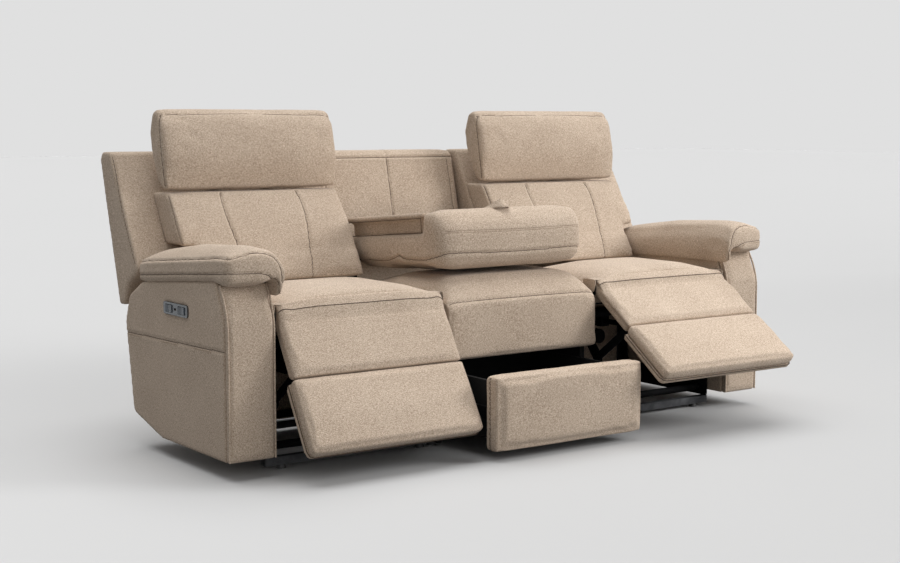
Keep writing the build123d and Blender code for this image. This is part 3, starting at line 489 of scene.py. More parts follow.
@dataclass(frozen=True)
class Crown:
    """Top of a seat that falls off towards both ends; millimetres.

    Args:
        half: half the seat's width.
        top: height of the crown.
        corner: width and fall of the round at each end.
        sag: further fall from the middle to the ends.
        least: smallest share of the height that is kept.
    """

    half: float
    top: float
    corner: tuple[float, float]
    sag: float
    least: float = 0.0

    def lower(self, places: np.ndarray, off: np.ndarray, foot: float | np.ndarray) -> None:
        """Lower places above a foot, in metres, by their distance off the seat's middle."""
        wide, tall = self.corner
        share = np.clip((off - self.half + wide) / wide, 0, 1)
        drop = tall * quarter(share) + self.sag * (off / self.half) ** 2
        keep = np.maximum(self.least, 1 - drop * MM / (self.top * MM - foot))
        z = places[:, 2]
        places[:, 2] = np.where(z > foot, foot + (z - foot) * keep, z)


def nearest_on(path: np.ndarray, places: np.ndarray) -> tuple[np.ndarray, np.ndarray]:
    """Distance of each place from a path, and the index of the path's nearest place."""
    gaps, picks = np.empty(len(places)), np.empty(len(places), int)
    for start in range(0, len(places), BATCH):
        part = slice(start, start + BATCH)
        gap = np.linalg.norm(places[part][:, None, :] - path[None, :, :], axis=2)
        gaps[part], picks[part] = gap.min(1), gap.argmin(1)
    return gaps, picks


def turn_about(pivot: tuple[float, float], degrees: float) -> Matrix:
    """Turn about an X axis through a (y, z) place in the maker's frame; positive lifts the front."""
    centre = Matrix.Translation(place(0, *pivot))
    return centre @ Matrix.Rotation(math.radians(-degrees), 4, "X") @ centre.inverted()


def rounded(points: Sequence[tuple[float, float, float]], steps: int = 6) -> list[tuple[float, float]]:
    """Closed outline with each corner rounded.

    Args:
        points: (across, up, radius) corners in order.
        steps: pieces in each arc.

    Returns:
        Points of the outline.
    """
    result: list[tuple[float, float]] = []
    count = len(points)
    for i, (a, b, radius) in enumerate(points):
        here = Vector((a, b))
        back = Vector(points[i - 1][:2]) - here
        ahead = Vector(points[(i + 1) % count][:2]) - here
        half = (math.pi - back.angle(ahead)) / 2
        reach = min(radius * math.tan(half), 0.49 * back.length, 0.49 * ahead.length)
        if reach < 0.05:
            result.append((a, b))
            continue
        start, end = here + back.normalized() * reach, here + ahead.normalized() * reach
        for step in range(steps + 1):
            t = step / steps
            spot = start.lerp(here, t).lerp(here.lerp(end, t), t)
            result.append((spot.x, spot.y))
    return result


def prism(mesh: bmesh.types.BMesh, outline: Profile, x_from: float, x_to: float) -> None:
    """Add a closed prism with a (y, z) outline between two X places."""
    rings = [[mesh.verts.new(place(x, y, z)) for y, z in outline] for x in (x_from, x_to)]
    count = len(outline)
    for i in range(count):
        j = (i + 1) % count
        mesh.faces.new((rings[0][i], rings[0][j], rings[1][j], rings[1][i]))
    mesh.faces.new(rings[0][::-1])
    mesh.faces.new(rings[1])


def to_mesh(build: bmesh.types.BMesh, name: str) -> Mesh:
    """Close a bmesh with outward normals and return it as a mesh."""
    bmesh.ops.recalc_face_normals(build, faces=build.faces[:])
    mesh = bpy.data.meshes.new(name)
    build.to_mesh(mesh)
    build.free()
    return mesh


def prisms_mesh(name: str, parts: Sequence[Plate]) -> Mesh:
    """Mesh of several closed prisms."""
    build = bmesh.new()
    for part in parts:
        prism(build, *part)
    return to_mesh(build, name)


def grid_mesh(name: str, rows: Sequence[Sequence[Sequence[float]]]) -> Mesh:
    """Sheet through rows of places."""
    build = bmesh.new()
    grid = [[build.verts.new(spot) for spot in row] for row in rows]
    for first, last in zip(grid, grid[1:]):
        for i in range(len(first) - 1):
            build.faces.new((first[i], first[i + 1], last[i + 1], last[i]))
    return to_mesh(build, name)


def subdivide(piece: Object) -> None:
    """Add one level of subdivision as a modifier."""
    level = piece.modifiers.new("fine", "SUBSURF")
    level.levels = level.render_levels = 1


def thicken(piece: Object, thickness: float, offset: float, fine: bool = False) -> None:
    """Give a sheet its thickness, subdivide it if asked to, and shade it smoothly."""
    skin = piece.modifiers.new("skin", "SOLIDIFY")
    skin.thickness = thickness
    skin.offset = offset
    if fine:
        subdivide(piece)
    bake(piece)
    smooth_faces(piece.data)


def search_tree(mesh: Mesh) -> BVHTree:
    """Search tree of a mesh's faces."""
    spots = [v.co.copy() for v in mesh.vertices]
    return BVHTree.FromPolygons(spots, [tuple(f.vertices) for f in mesh.polygons])


def spline(points: Sequence[Sequence[float]], step: float) -> np.ndarray:
    """Smooth path through points (rounded by Catmull-Rom), sampled about every step."""
    knots = np.array(points, float)
    if len(knots) < 3:
        count = max(2, int(np.linalg.norm(knots[-1] - knots[0]) / step))
        return np.linspace(knots[0], knots[-1], count)
    padded = np.vstack([2 * knots[0] - knots[1], knots, 2 * knots[-1] - knots[-2]])
    samples = []
    for i in range(1, len(padded) - 2):
        a, b, c, d = padded[i - 1:i + 3]
        count = max(2, int(np.linalg.norm(c - b) / step))
        for t in np.linspace(0, 1, count, endpoint=False):
            samples.append(0.5 * (2 * b + (c - a) * t + (2 * a - 5 * b + 4 * c - d) * t ** 2
                                  + (3 * b - a - 3 * c + d) * t ** 3))
    samples.append(knots[-1])
    return np.array(samples)


# Seams, threads and piping


@dataclass(frozen=True)
class Seam:
    """Sewn line on a piece.

    Args:
        points: places in the maker's frame, on or near the cloth.
        depth: how far the seam draws the cloth in, millimetres.
        width: half width of the groove, millimetres.
        stitching: rows of thread that show.
        sharp: follow the points in straight runs.
    """

    points: tuple[Point, ...]
    depth: float = 4.5
    width: float = 4.5
    stitching: Stitching = Stitching.NONE
    sharp: bool = False

    def path(self) -> np.ndarray:
        """Places along the seam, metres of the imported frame."""
        knots = [place(*p) for p in self.points]
        if not self.sharp:
            return spline(knots, SEAM_STEP)
        runs = [spline((a, b), SEAM_STEP)[:-1] for a, b in zip(knots, knots[1:])]
        return np.vstack(runs + [np.array([knots[-1]])])


@dataclass
class SewnPath:
    """A seam as it lies on the finished cloth."""

    places: np.ndarray
    normals: np.ndarray
    stitching: Stitching


def lay_on(tree: BVHTree, path: np.ndarray) -> tuple[np.ndarray, np.ndarray]:
    """Nearest places on a surface and its normals there."""
    found = [tree.find_nearest(Vector(point)) for point in path]
    return np.array([hit[0] for hit in found]), np.array([hit[1] for hit in found])


def draw_in(mesh: Mesh, seams: Sequence[Seam], matrix: Matrix, seed: float) -> list[SewnPath]:
    """Pull a mesh in along its seams, with small puckers beside them.

    Args:
        mesh: cloth to change.
        seams: lines in the mesh's own pose.
        matrix: brings the seams' frame to the mesh.
        seed: shifts the pattern of puckers.

    Returns:
        The seams as they lie on the finished cloth.
    """
    places, normals = vertices_of(mesh), normals_of(mesh)
    tree = search_tree(mesh)
    flip = np.array(matrix.to_3x3())
    laid = []
    shift = np.zeros(len(places))
    for seam in seams:
        path = seam.path() @ flip.T + np.array(matrix.translation)
        spots, _ = lay_on(tree, path)
        width = seam.width * MM
        low, high = spots.min(0) - 4 * width, spots.max(0) + 4 * width
        near = np.flatnonzero(np.all((places > low) & (places < high), axis=1))
        if len(near) == 0:
            continue
        nearest, picks = nearest_on(spots, places[near])
        along = picks * SEAM_STEP
        pucker = 1 + 0.18 * np.sin(along / 0.013 + seed) + 0.12 * np.sin(along / 0.031 + 2 * seed)
        groove = -seam.depth * MM * np.exp(-(nearest / width) ** 2)
        lip = 0.22 * seam.depth * MM * np.exp(-((nearest - 2.6 * width) / (1.4 * width)) ** 2) * pucker
        pull = groove + lip
        shift[near] = np.where(np.abs(pull) > np.abs(shift[near]), pull, shift[near])
        laid.append((spots, seam.stitching))
    set_vertices(mesh, places + normals * shift[:, None])
    tree = search_tree(mesh)
    return [SewnPath(*lay_on(tree, spots), stitching) for spots, stitching in laid]


def rows_mesh(name: str, rows: Sequence[np.ndarray]) -> Mesh:
    """Mesh of loose edges, one chain for each row of places."""
    places, edges = [], []
    for row in rows:
        first = len(places)
        places += [tuple(p) for p in row]
        edges += [(first + i, first + i + 1) for i in range(len(row) - 1)]
    mesh = bpy.data.meshes.new(name)
    mesh.from_pydata(places, edges, [])
    return mesh


class NodeTree:
    """Geometry node tree under construction, with named inputs."""

    def __init__(self, name: str, inputs: Sequence[tuple[str, str, object]]) -> None:
        """Start a tree with geometry in and out and further (name, socket type, value) inputs."""
        self.tree = bpy.data.node_groups.new(name, "GeometryNodeTree")
        face = self.tree.interface
        face.new_socket("Geometry", in_out="INPUT", socket_type="NodeSocketGeometry")
        face.new_socket("Geometry", in_out="OUTPUT", socket_type="NodeSocketGeometry")
        self.names: dict[str, str] = {}
        for label, kind, value in inputs:
            socket = face.new_socket(label, in_out="INPUT", socket_type=kind)
            if value is not None:
                socket.default_value = value
            self.names[label] = socket.identifier
        self.source = self.tree.nodes.new("NodeGroupInput")
        self.sink = self.tree.nodes.new("NodeGroupOutput")

    def add(self, kind: str, settings: Optional[dict] = None, **inputs) -> Node:
        """Add a node of a type, with properties and socket values or links."""
        return add_node(self.tree, kind, settings, **inputs)

    def finish(self, geometry: NodeSocket) -> None:
        """Realize, give the material and end the tree."""
        real = self.add("GeometryNodeRealizeInstances", Geometry=geometry)
        finish = self.source.outputs["Finish"]
        dressed = self.add("GeometryNodeSetMaterial", Geometry=real.outputs[0], Material=finish)
        self.tree.links.new(dressed.outputs[0], self.sink.inputs[0])

    def run(self, name: str, rows: Sequence[np.ndarray], values: dict[str, object]) -> Object:
        """Apply the tree to chains of edges.

        Args:
            name: the new piece's name.
            rows: places along each chain.
            values: input values by input name.

        Returns:
            The finished plain piece.
        """
        piece = make_object(name, rows_mesh(name, rows))
        modifier = piece.modifiers.new("tree", "NODES")
        modifier.node_group = self.tree
        for label, value in values.items():
            modifier[self.names[label]] = value
        bake(piece)
        return piece


class Haberdashery:
    """Geometry node trees for stitches and for swept cords, with the pieces made from them; metres."""

    # Size and sinking of the dark cord in each seam groove, which paints the seam's shade.
    LINE_RADIUS = 0.0011
    LINE_SUNK = 0.0004
    STITCH_PROUD = 0.0012

    def __init__(self, finishes: Finishes) -> None:
        """Build both trees."""
        self.finishes = finishes
        self.stitches = self._stitch_tree()
        self.sweeps = self._sweep_tree()

    @staticmethod
    def _stitch_tree() -> NodeTree:
        """Short threads laid end to end along every chain of edges."""
        sizes = [("Spacing", 0.0075), ("Length", 0.005), ("Radius", 0.0007)]
        inputs = [(label, "NodeSocketFloat", size) for label, size in sizes]
        tree = NodeTree("stitch_row", inputs + [("Finish", "NodeSocketMaterial", None)])
        source = tree.source.outputs
        curve = tree.add("GeometryNodeMeshToCurve", Mesh=source["Geometry"])
        spaced = tree.add("GeometryNodeResampleCurve", {"mode": "LENGTH"}, Curve=curve.outputs[0],
                          Length=source["Spacing"])
        tangent = tree.add("GeometryNodeInputTangent")
        aim = tree.add("FunctionNodeAlignRotationToVector", {"axis": "Z"}, Vector=tangent.outputs[0])
        thread = tree.add("GeometryNodeMeshCylinder", Vertices=6, Side_Segments=2, Radius=source["Radius"],
                          Depth=source["Length"])
        laid = tree.add("GeometryNodeInstanceOnPoints", Points=spaced.outputs[0], Instance=thread.outputs[0],
                        Rotation=aim.outputs[0])
        tree.finish(laid.outputs[0])
        return tree

    @staticmethod
    def _sweep_tree() -> NodeTree:
        """Round cord swept along every chain of edges."""
        tree = NodeTree("swept_cord", [("Radius", "NodeSocketFloat", 0.001),
                                       ("Finish", "NodeSocketMaterial", None)])
        source = tree.source.outputs
        curve = tree.add("GeometryNodeMeshToCurve", Mesh=source["Geometry"])
        ring = tree.add("GeometryNodeCurvePrimitiveCircle", Resolution=8, Radius=source["Radius"])
        cord = tree.add("GeometryNodeCurveToMesh", Curve=curve.outputs[0], Profile_Curve=ring.outputs[0],
                        Fill_Caps=True)
        tree.finish(cord.outputs[0])
        return tree

    def sew(self, name: str, body: str, paths: Sequence[SewnPath]) -> None:
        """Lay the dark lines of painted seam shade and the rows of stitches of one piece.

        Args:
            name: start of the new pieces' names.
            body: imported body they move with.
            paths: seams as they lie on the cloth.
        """
        lines, rows = [], []
        for path in paths:
            # Dark cord at the bottom of each seam groove, except topstitched seams: painted shade of the
            # seam.
            if path.stitching is not Stitching.TOP_ONLY:
                lines.append(path.places - path.normals * self.LINE_SUNK)
            run = np.gradient(path.places, axis=0)
            run /= np.linalg.norm(run, axis=1, keepdims=True) + 1e-12
            across = np.cross(path.normals, run)
            for offset in path.stitching.value:
                rows.append(path.places + across * offset + path.normals * self.STITCH_PROUD)
        if lines:
            dress(self.thread(name + "_seam_lines", lines, self.LINE_RADIUS), body)
        if rows:
            self.stitch(name + "_stitches", body, rows)

    def thread(self, name: str, rows: Sequence[np.ndarray], radius: float) -> Object:
        """Dark cord along rows of places: painted shade in seams and joints."""
        return self.sweeps.run(name, rows, {"Radius": radius, "Finish": self.finishes.thread})

    def stitch(self, name: str, body: str, rows: Sequence[np.ndarray], **sizes: float) -> None:
        """Rows of stitches on one body, with the sizes that differ from the tree's own."""
        dress(self.stitches.run(name, rows, {"Finish": self.finishes.stitch} | sizes), body)

    def pipe(self, name: str, body: str, rows: Sequence[np.ndarray], radius: float) -> None:
        """Cloth-covered piping along rows of places, on one body."""
        piece = self.sweeps.run(name, rows, {"Radius": radius, "Finish": self.finishes.cloth})
        smooth_faces(piece.data)
        dress(piece, body)


def dress(piece: Object, body: str, *nodes: str) -> None:
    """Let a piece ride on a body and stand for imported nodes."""
    if nodes:
        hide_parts(*nodes)
    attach(piece, body)
    LOG.info("%s: %d faces on %s", piece.name, len(piece.data.polygons), body)


# Padding


@dataclass(frozen=True)
class Room:
    """How far a padded piece may stand proud of its solid's box on each side, millimetres."""

    inner: float = 2.0
    outer: float = 2.0
    front: float = 4.0
    rear: float = 0.5
    under: float = 0.5
    over: float = 4.0

    def limits(self, places: np.ndarray) -> tuple[np.ndarray, np.ndarray]:
        """Lowest and highest corner that a form of these places may reach."""
        low = places.min(0) - np.array((self.inner, self.front, self.under)) * MM
        high = places.max(0) + np.array((self.outer, self.rear, self.over)) * MM
        return low, high


@dataclass
class PaddedForm:
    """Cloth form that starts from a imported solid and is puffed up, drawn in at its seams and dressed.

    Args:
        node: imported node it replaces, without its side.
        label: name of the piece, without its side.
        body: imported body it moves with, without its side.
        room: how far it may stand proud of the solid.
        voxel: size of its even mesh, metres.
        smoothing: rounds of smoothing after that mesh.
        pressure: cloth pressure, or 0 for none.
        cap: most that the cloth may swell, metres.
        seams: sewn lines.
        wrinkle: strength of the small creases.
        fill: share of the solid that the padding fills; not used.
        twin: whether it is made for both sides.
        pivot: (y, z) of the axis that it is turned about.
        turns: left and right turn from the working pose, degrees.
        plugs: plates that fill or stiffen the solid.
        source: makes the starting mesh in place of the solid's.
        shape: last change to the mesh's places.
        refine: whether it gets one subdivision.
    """

    SEATED = 0.012  # metres above its foot within which the cloth is held
    DENT = 0.001  # metres that the cloth may fall in

    node: str
    label: str
    body: str
    room: Room = field(default_factory=Room)
    voxel: float = 0.009
    smoothing: int = 6
    pressure: float = 4.0
    cap: float = 0.022
    seams: tuple[Seam, ...] = ()
    wrinkle: float = 1.0
    fill: float = 0.8
    twin: bool = True
    pivot: tuple[float, float] = (0.0, 0.0)
    turns: tuple[float, float] = (0.0, 0.0)
    plugs: tuple[Plate, ...] = ()
    source: Optional[Callable[[], Mesh]] = None
    shape: Optional[Callable[[np.ndarray], np.ndarray]] = None
    refine: bool = True

    def prepare(self, nodes: dict[str, Object]) -> None:
        """Copy the solid into an even mesh and hang the cloth on it."""
        build = bmesh.new()
        name = ("right_" if self.twin else "") + self.node
        if self.source:
            build.from_mesh(self.source())
        else:
            build.from_mesh(nodes[name].data)
            bmesh.ops.remove_doubles(build, verts=build.verts[:], dist=1e-5)
            bmesh.ops.transform(build, matrix=turn_about(self.pivot, -self.turns[1]), verts=build.verts[:])
            self._keep_outside(build)
        for outline, x_from, x_to in self.plugs:
            prism(build, outline, x_from, x_to)
        self.piece = make_object("work_" + name, to_mesh(build, name))
        solid = vertices_of(self.piece.data)
        self.low, self.high = self.room.limits(solid)
        remesh = self.piece.modifiers.new("even", "REMESH")
        remesh.mode = "VOXEL"
        remesh.voxel_size = self.voxel
        soften = self.piece.modifiers.new("soften", "SMOOTH")
        soften.factor = 0.5
        soften.iterations = self.smoothing
        bake(self.piece)
        self.start = fill_box(vertices_of(self.piece.data), solid.min(0), solid.max(0))
        set_vertices(self.piece.data, self.start)
        self.outward = normals_of(self.piece.data)
        if self.pressure > 0:
            self._hang_cloth()

    @staticmethod
    def _keep_outside(build: bmesh.types.BMesh) -> None:
        """Drop closed inner shells, which no one sees."""
        left = set(build.verts)
        shells = []
        while left:
            seed = left.pop()
            shell, queue = {seed}, [seed]
            while queue:
                for edge in queue.pop().link_edges:
                    for vertex in edge.verts:
                        if vertex not in shell:
                            shell.add(vertex)
                            queue.append(vertex)
            left -= shell
            shells.append(shell)

        def reach(shell: set) -> float:
            return max(v.co.x for v in shell) - min(v.co.x for v in shell)

        widest = max(reach(s) for s in shells)
        inner = [v for s in shells if reach(s) < 0.97 * widest for v in s]
        bmesh.ops.delete(build, geom=inner, context="VERTS")

    def _hang_cloth(self) -> None:
        """Add the cloth, held along the seams and where the form is seated."""
        held = (self.start[:, 2] < self.low[2] + self.SEATED) & (self.room.under < 1)
        for seam in self.seams:
            gaps, _ = nearest_on(seam.path(), self.start)
            held |= gaps < 0.9 * self.voxel
        group = self.piece.vertex_groups.new(name="held")
        group.add([int(i) for i in np.flatnonzero(held)], 1.0, "REPLACE")
        cloth = self.piece.modifiers.new("cloth", "CLOTH")
        cloth.settings.use_pressure = True
        cloth.settings.uniform_pressure_force = self.pressure
        cloth.settings.quality = 4
        cloth.settings.effector_weights.gravity = 0
        cloth.settings.vertex_group_mass = "held"
        cloth.collision_settings.use_collision = False
        cloth.point_cache.frame_start = 1
        cloth.point_cache.frame_end = CLOTH_FRAMES

    def settle(self) -> None:
        """Take the puffed form, keep it within its room and add one subdivision."""
        bake(self.piece)
        moved = vertices_of(self.piece.data) - self.start
        swell = even_out((moved * self.outward).sum(1), self.piece.data, 4)
        swell = np.clip(swell, -self.DENT, self.cap)
        places = np.clip(self.start + self.outward * swell[:, None], self.low, self.high)
        if self.shape:
            places = self.shape(places)
        set_vertices(self.piece.data, places)
        if self.refine:
            subdivide(self.piece)
            bake(self.piece)
            set_vertices(self.piece.data, np.clip(vertices_of(self.piece.data), self.low, self.high))

    def deliver(self, cloth: Material, sewing: Haberdashery) -> None:
        """Make the finished piece or pair of pieces and remove the working one."""
        for side in (Side.RIGHT, Side.LEFT) if self.twin else (None,):
            left = side is Side.LEFT
            prefix = side.label + "_" if side else ""
            label = prefix + self.label
            mirror = Matrix.Scale(-1, 4, (1, 0, 0)) if left else Matrix.Identity(4)
            matrix = turn_about(self.pivot, self.turns[0 if left else 1]) @ mirror
            mesh = self.piece.data.copy()
            mesh.name = label
            mesh.transform(matrix)
            if left:
                mesh.flip_normals()
            mesh.update()
            seed = 1.7 if left else 0.4
            self._crease(mesh, seed + len(self.label))
            paths = draw_in(mesh, self.seams, matrix, seed)
            smooth_faces(mesh)
            mesh.materials.clear()
            mesh.materials.append(cloth)
            piece = make_object(label, mesh)
            body = self.body if self.body == "base" else prefix + self.body
            dress(piece, body, prefix + self.node)
            sewing.sew(label, body, paths)
        discard(self.piece)

    def _crease(self, mesh: Mesh, seed: float) -> None:
        """Move the cloth a little in and out so that no panel is perfectly even."""
        places, normals = vertices_of(mesh), normals_of(mesh)
        offset = Vector((seed * 3.1, seed * 1.7, seed))
        shift = np.empty(len(places))
        for i, spot in enumerate(places):
            here = Vector(spot)
            shift[i] = noise.noise(here * 9 + offset) + 0.45 * noise.noise(here * 24 + offset)
        set_vertices(mesh, places + normals * (shift * 0.9 * self.wrinkle * MM)[:, None])


# Sub-assemblies


def circle(centre: tuple[float, float], radius: float) -> Profile:
    """Round (y, z) outline."""
    y, z = centre
    angles = np.linspace(0, 2 * math.pi, 16)[:-1]
    return [(y + radius * math.cos(a), z + radius * math.sin(a)) for a in angles]


@dataclass
class Arms:
    """Both arms: covers with their outer seam, padded fascias and pillows."""

    inner_x: float = 900.0
    outer_x: float = 1050.0

    def forms(self) -> list[PaddedForm]:
        """Padded forms of the right arm and its twin."""
        x = self.outer_x
        side_seam = Seam(((x, 18, 368), (x, 340, 360), (x, 700, 352)), 3.0, 4.0, Stitching.SINGLE)
        cover = PaddedForm("arm_cover", "arm_cover", "base", Room(0, 0, 0, 2, 0, 0), voxel=0.0055,
                           smoothing=2, pressure=0.0, cap=0.0, seams=(side_seam,), wrinkle=0.5, fill=1.0,
                           refine=False)
        fascia = PaddedForm("arm_front", "arm_fascia", "base", Room(0, 0, 4, 0, 0, 0), voxel=0.006,
                            smoothing=2, pressure=3.0, cap=0.005, wrinkle=0.5, fill=0.9)
        top = Seam((
            (1056, 590, 588), (1059, 282, 617), (1059, 69, 638), (1057, -6, 641), (1030, -17, 645),
            (985, -18, 650), (935, -18, 642), (908, -18, 622), (893, -17, 590), (886, -16, 555),
            (884, -15, 518),
        ), 3.4, 4.0)
        low = Seam((
            (1058, 588, 540), (1059, 284, 566), (1059, 72, 583), (1056, -8, 590), (1030, -16, 590),
            (960, -17, 588), (925, -17, 578), (906, -17, 555), (900, -16, 519),
        ), 2.6, 3.0, Stitching.SINGLE)
        pillow = PaddedForm("arm_pillow", "arm_pillow", "base", Room(9, 3, 12, 3, 0.3, 4), voxel=0.008,
                            smoothing=5, cap=0.008, seams=(top, low), wrinkle=0.8, fill=0.9,
                            shape=self._shape_pillow)
        return [cover, fascia, pillow]

    @staticmethod
    def _shape_pillow(places: np.ndarray) -> np.ndarray:
        """Roll the pillow's front end forward and over its inner side, and let it hang lower."""
        x, y, z = places.T
        ahead = ahead_of(places, 34, 0.045)
        round_off = np.clip(1 - ((z - 0.595) / 0.075) ** 2, 0, 1)
        y -= 0.010 * ahead * round_off * fall(x, 1.03, 0.07)
        inner = fall(x, 0.925, 0.035) * ahead_of(places, 150, 0.1)
        x -= 0.010 * inner * round_off
        hang = ahead_of(places, 85, 0.06) * np.clip((x - 0.915) / 0.03, 0, 1)
        z -= 0.013 * hang * fall(z, 0.612, 0.022)
        return places

    def dress_trim(self, sewing: Haberdashery) -> None:
        """Piping along both edges of each fascia."""
        edge = [(0.5, 57), (0.5, 250), (0.5, 400), (3, 450), (18, 502), (44, 552)]
        for side in Side:
            rows = []
            for x in (self.inner_x + 2.5, self.outer_x - 2.5):
                rows.append(spline([place(side.value * x, y, z) for y, z in edge], TRIM_STEP))
            sewing.pipe(f"{side.label}_fascia_piping", "base", rows, 0.0032)


@dataclass
class KneeCover:
    """Strip of cover between a seat's front lip and its leg pad; millimetres.

    Args:
        side: recliner it belongs to.
        centre: X of the recliner's middle.
        hinge: (y, z) of the footrest's hinge.
        opening: how far the footrest is raised, degrees.
        half: half width on the leg pad.
        lip_half: half width on the seat.
        lips: two (y, z) places that the strip touches on the seat.
        landing: where it meets the leg pad, below the hinge.
        tuck: where it ends in the leg pad, below the hinge.
        seam: place of its seam, along the strip.
        columns: strips across.
        rows: places along each strip.
        smoothing: rounds of smoothing across.
    """

    side: Side
    centre: float
    hinge: tuple[float, float]
    opening: float
    half: float
    lip_half: float
    lips: Profile = ((24.0, 500.5), (15.0, 493.0))
    landing: float = 40.0
    tuck: float = 84.0
    seam: float = 32.0
    columns: int = 116
    rows: int = 24
    smoothing: int = 10

    def build(self, cloth: Material, sewing: Haberdashery) -> None:
        """Lay the strip on both cushions, curved between them."""
        pads = [bpy.data.objects[f"{self.side.label}_{name}"].data for name in ("seat_pad", "leg_rest_pad")]
        seat, leg = map(search_tree, pads)
        angle = math.radians(self.opening)
        out = Vector((0, -math.cos(angle), math.sin(angle)))
        down = Vector((0, -math.sin(angle), -math.cos(angle)))
        rise = Vector((0, -0.66, 0.75))
        middle = self.side.value * self.centre
        knots = []
        for step in np.linspace(-1, 1, self.columns):
            axis = place(middle + step * self.half, *self.hinge)
            across = middle + step * self.lip_half
            starts = [place(across, *spot) + rise * 0.08 for spot in self.lips]
            crest, lip = [seat.ray_cast(start, -rise)[0] for start in starts]
            starts = [axis + down * along * MM + out * 0.09 for along in (self.landing, self.tuck)]
            face = [leg.ray_cast(start, -out)[0] for start in starts]
            if crest is None or None in face or crest.y > place(0, 52, 0).y:
                continue
            if lip is None or lip.y > crest.y:
                lip = crest + Vector((0, -0.005, -0.002))
            knots.append((crest - rise * 0.0016, lip + rise * 0.0006,
                          face[0] + out * 0.0012, face[1] - out * 0.0014))
        lines = np.array(knots)
        for _ in range(self.smoothing):
            lines[1:-1] = (lines[:-2] + 2 * lines[1:-1] + lines[2:]) / 4
        lift = np.array((out + Vector((0, -0.3, 0.7))).normalized()) * 0.004
        strips = [spline((a, b, 0.52 * b + 0.48 * c + lift, c, d), STRIP_STEP * MM) for a, b, c, d in lines]
        self._finish(strips, cloth, sewing)

    def _finish(self, strips: list[np.ndarray], cloth: Material, sewing: Haberdashery) -> None:
        """Skin the strips, thicken the cloth and lay a dark line of painted seam shade along its upper edge.
        """
        rows = [strip[np.linspace(0, len(strip) - 1, self.rows).round().astype(int)] for strip in strips]
        label = f"{self.side.label}_knee_cover"
        piece = make_object(label, grid_mesh(label, rows))
        if sum(f.normal.y for f in piece.data.polygons) > 0:
            piece.data.flip_normals()
        thicken(piece, SHEET_THICK, -1.0)
        piece.data.materials.append(cloth)
        # Dark cord along the seam near the strip's upper edge: painted shade of the seam.
        at = int(self.seam / STRIP_STEP)
        edge = np.array([strip[min(at, len(strip) - 1)] for strip in strips]) + np.array((0, -0.0004, 0.0002))
        thread = sewing.thread(label + "_seam", [edge], 0.0013)
        for part in (piece, thread):
            f"{self.side.label}_footrest"
            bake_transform(part)
        LOG.info("%s: %d faces from seat to footrest", label, len(piece.data.polygons))


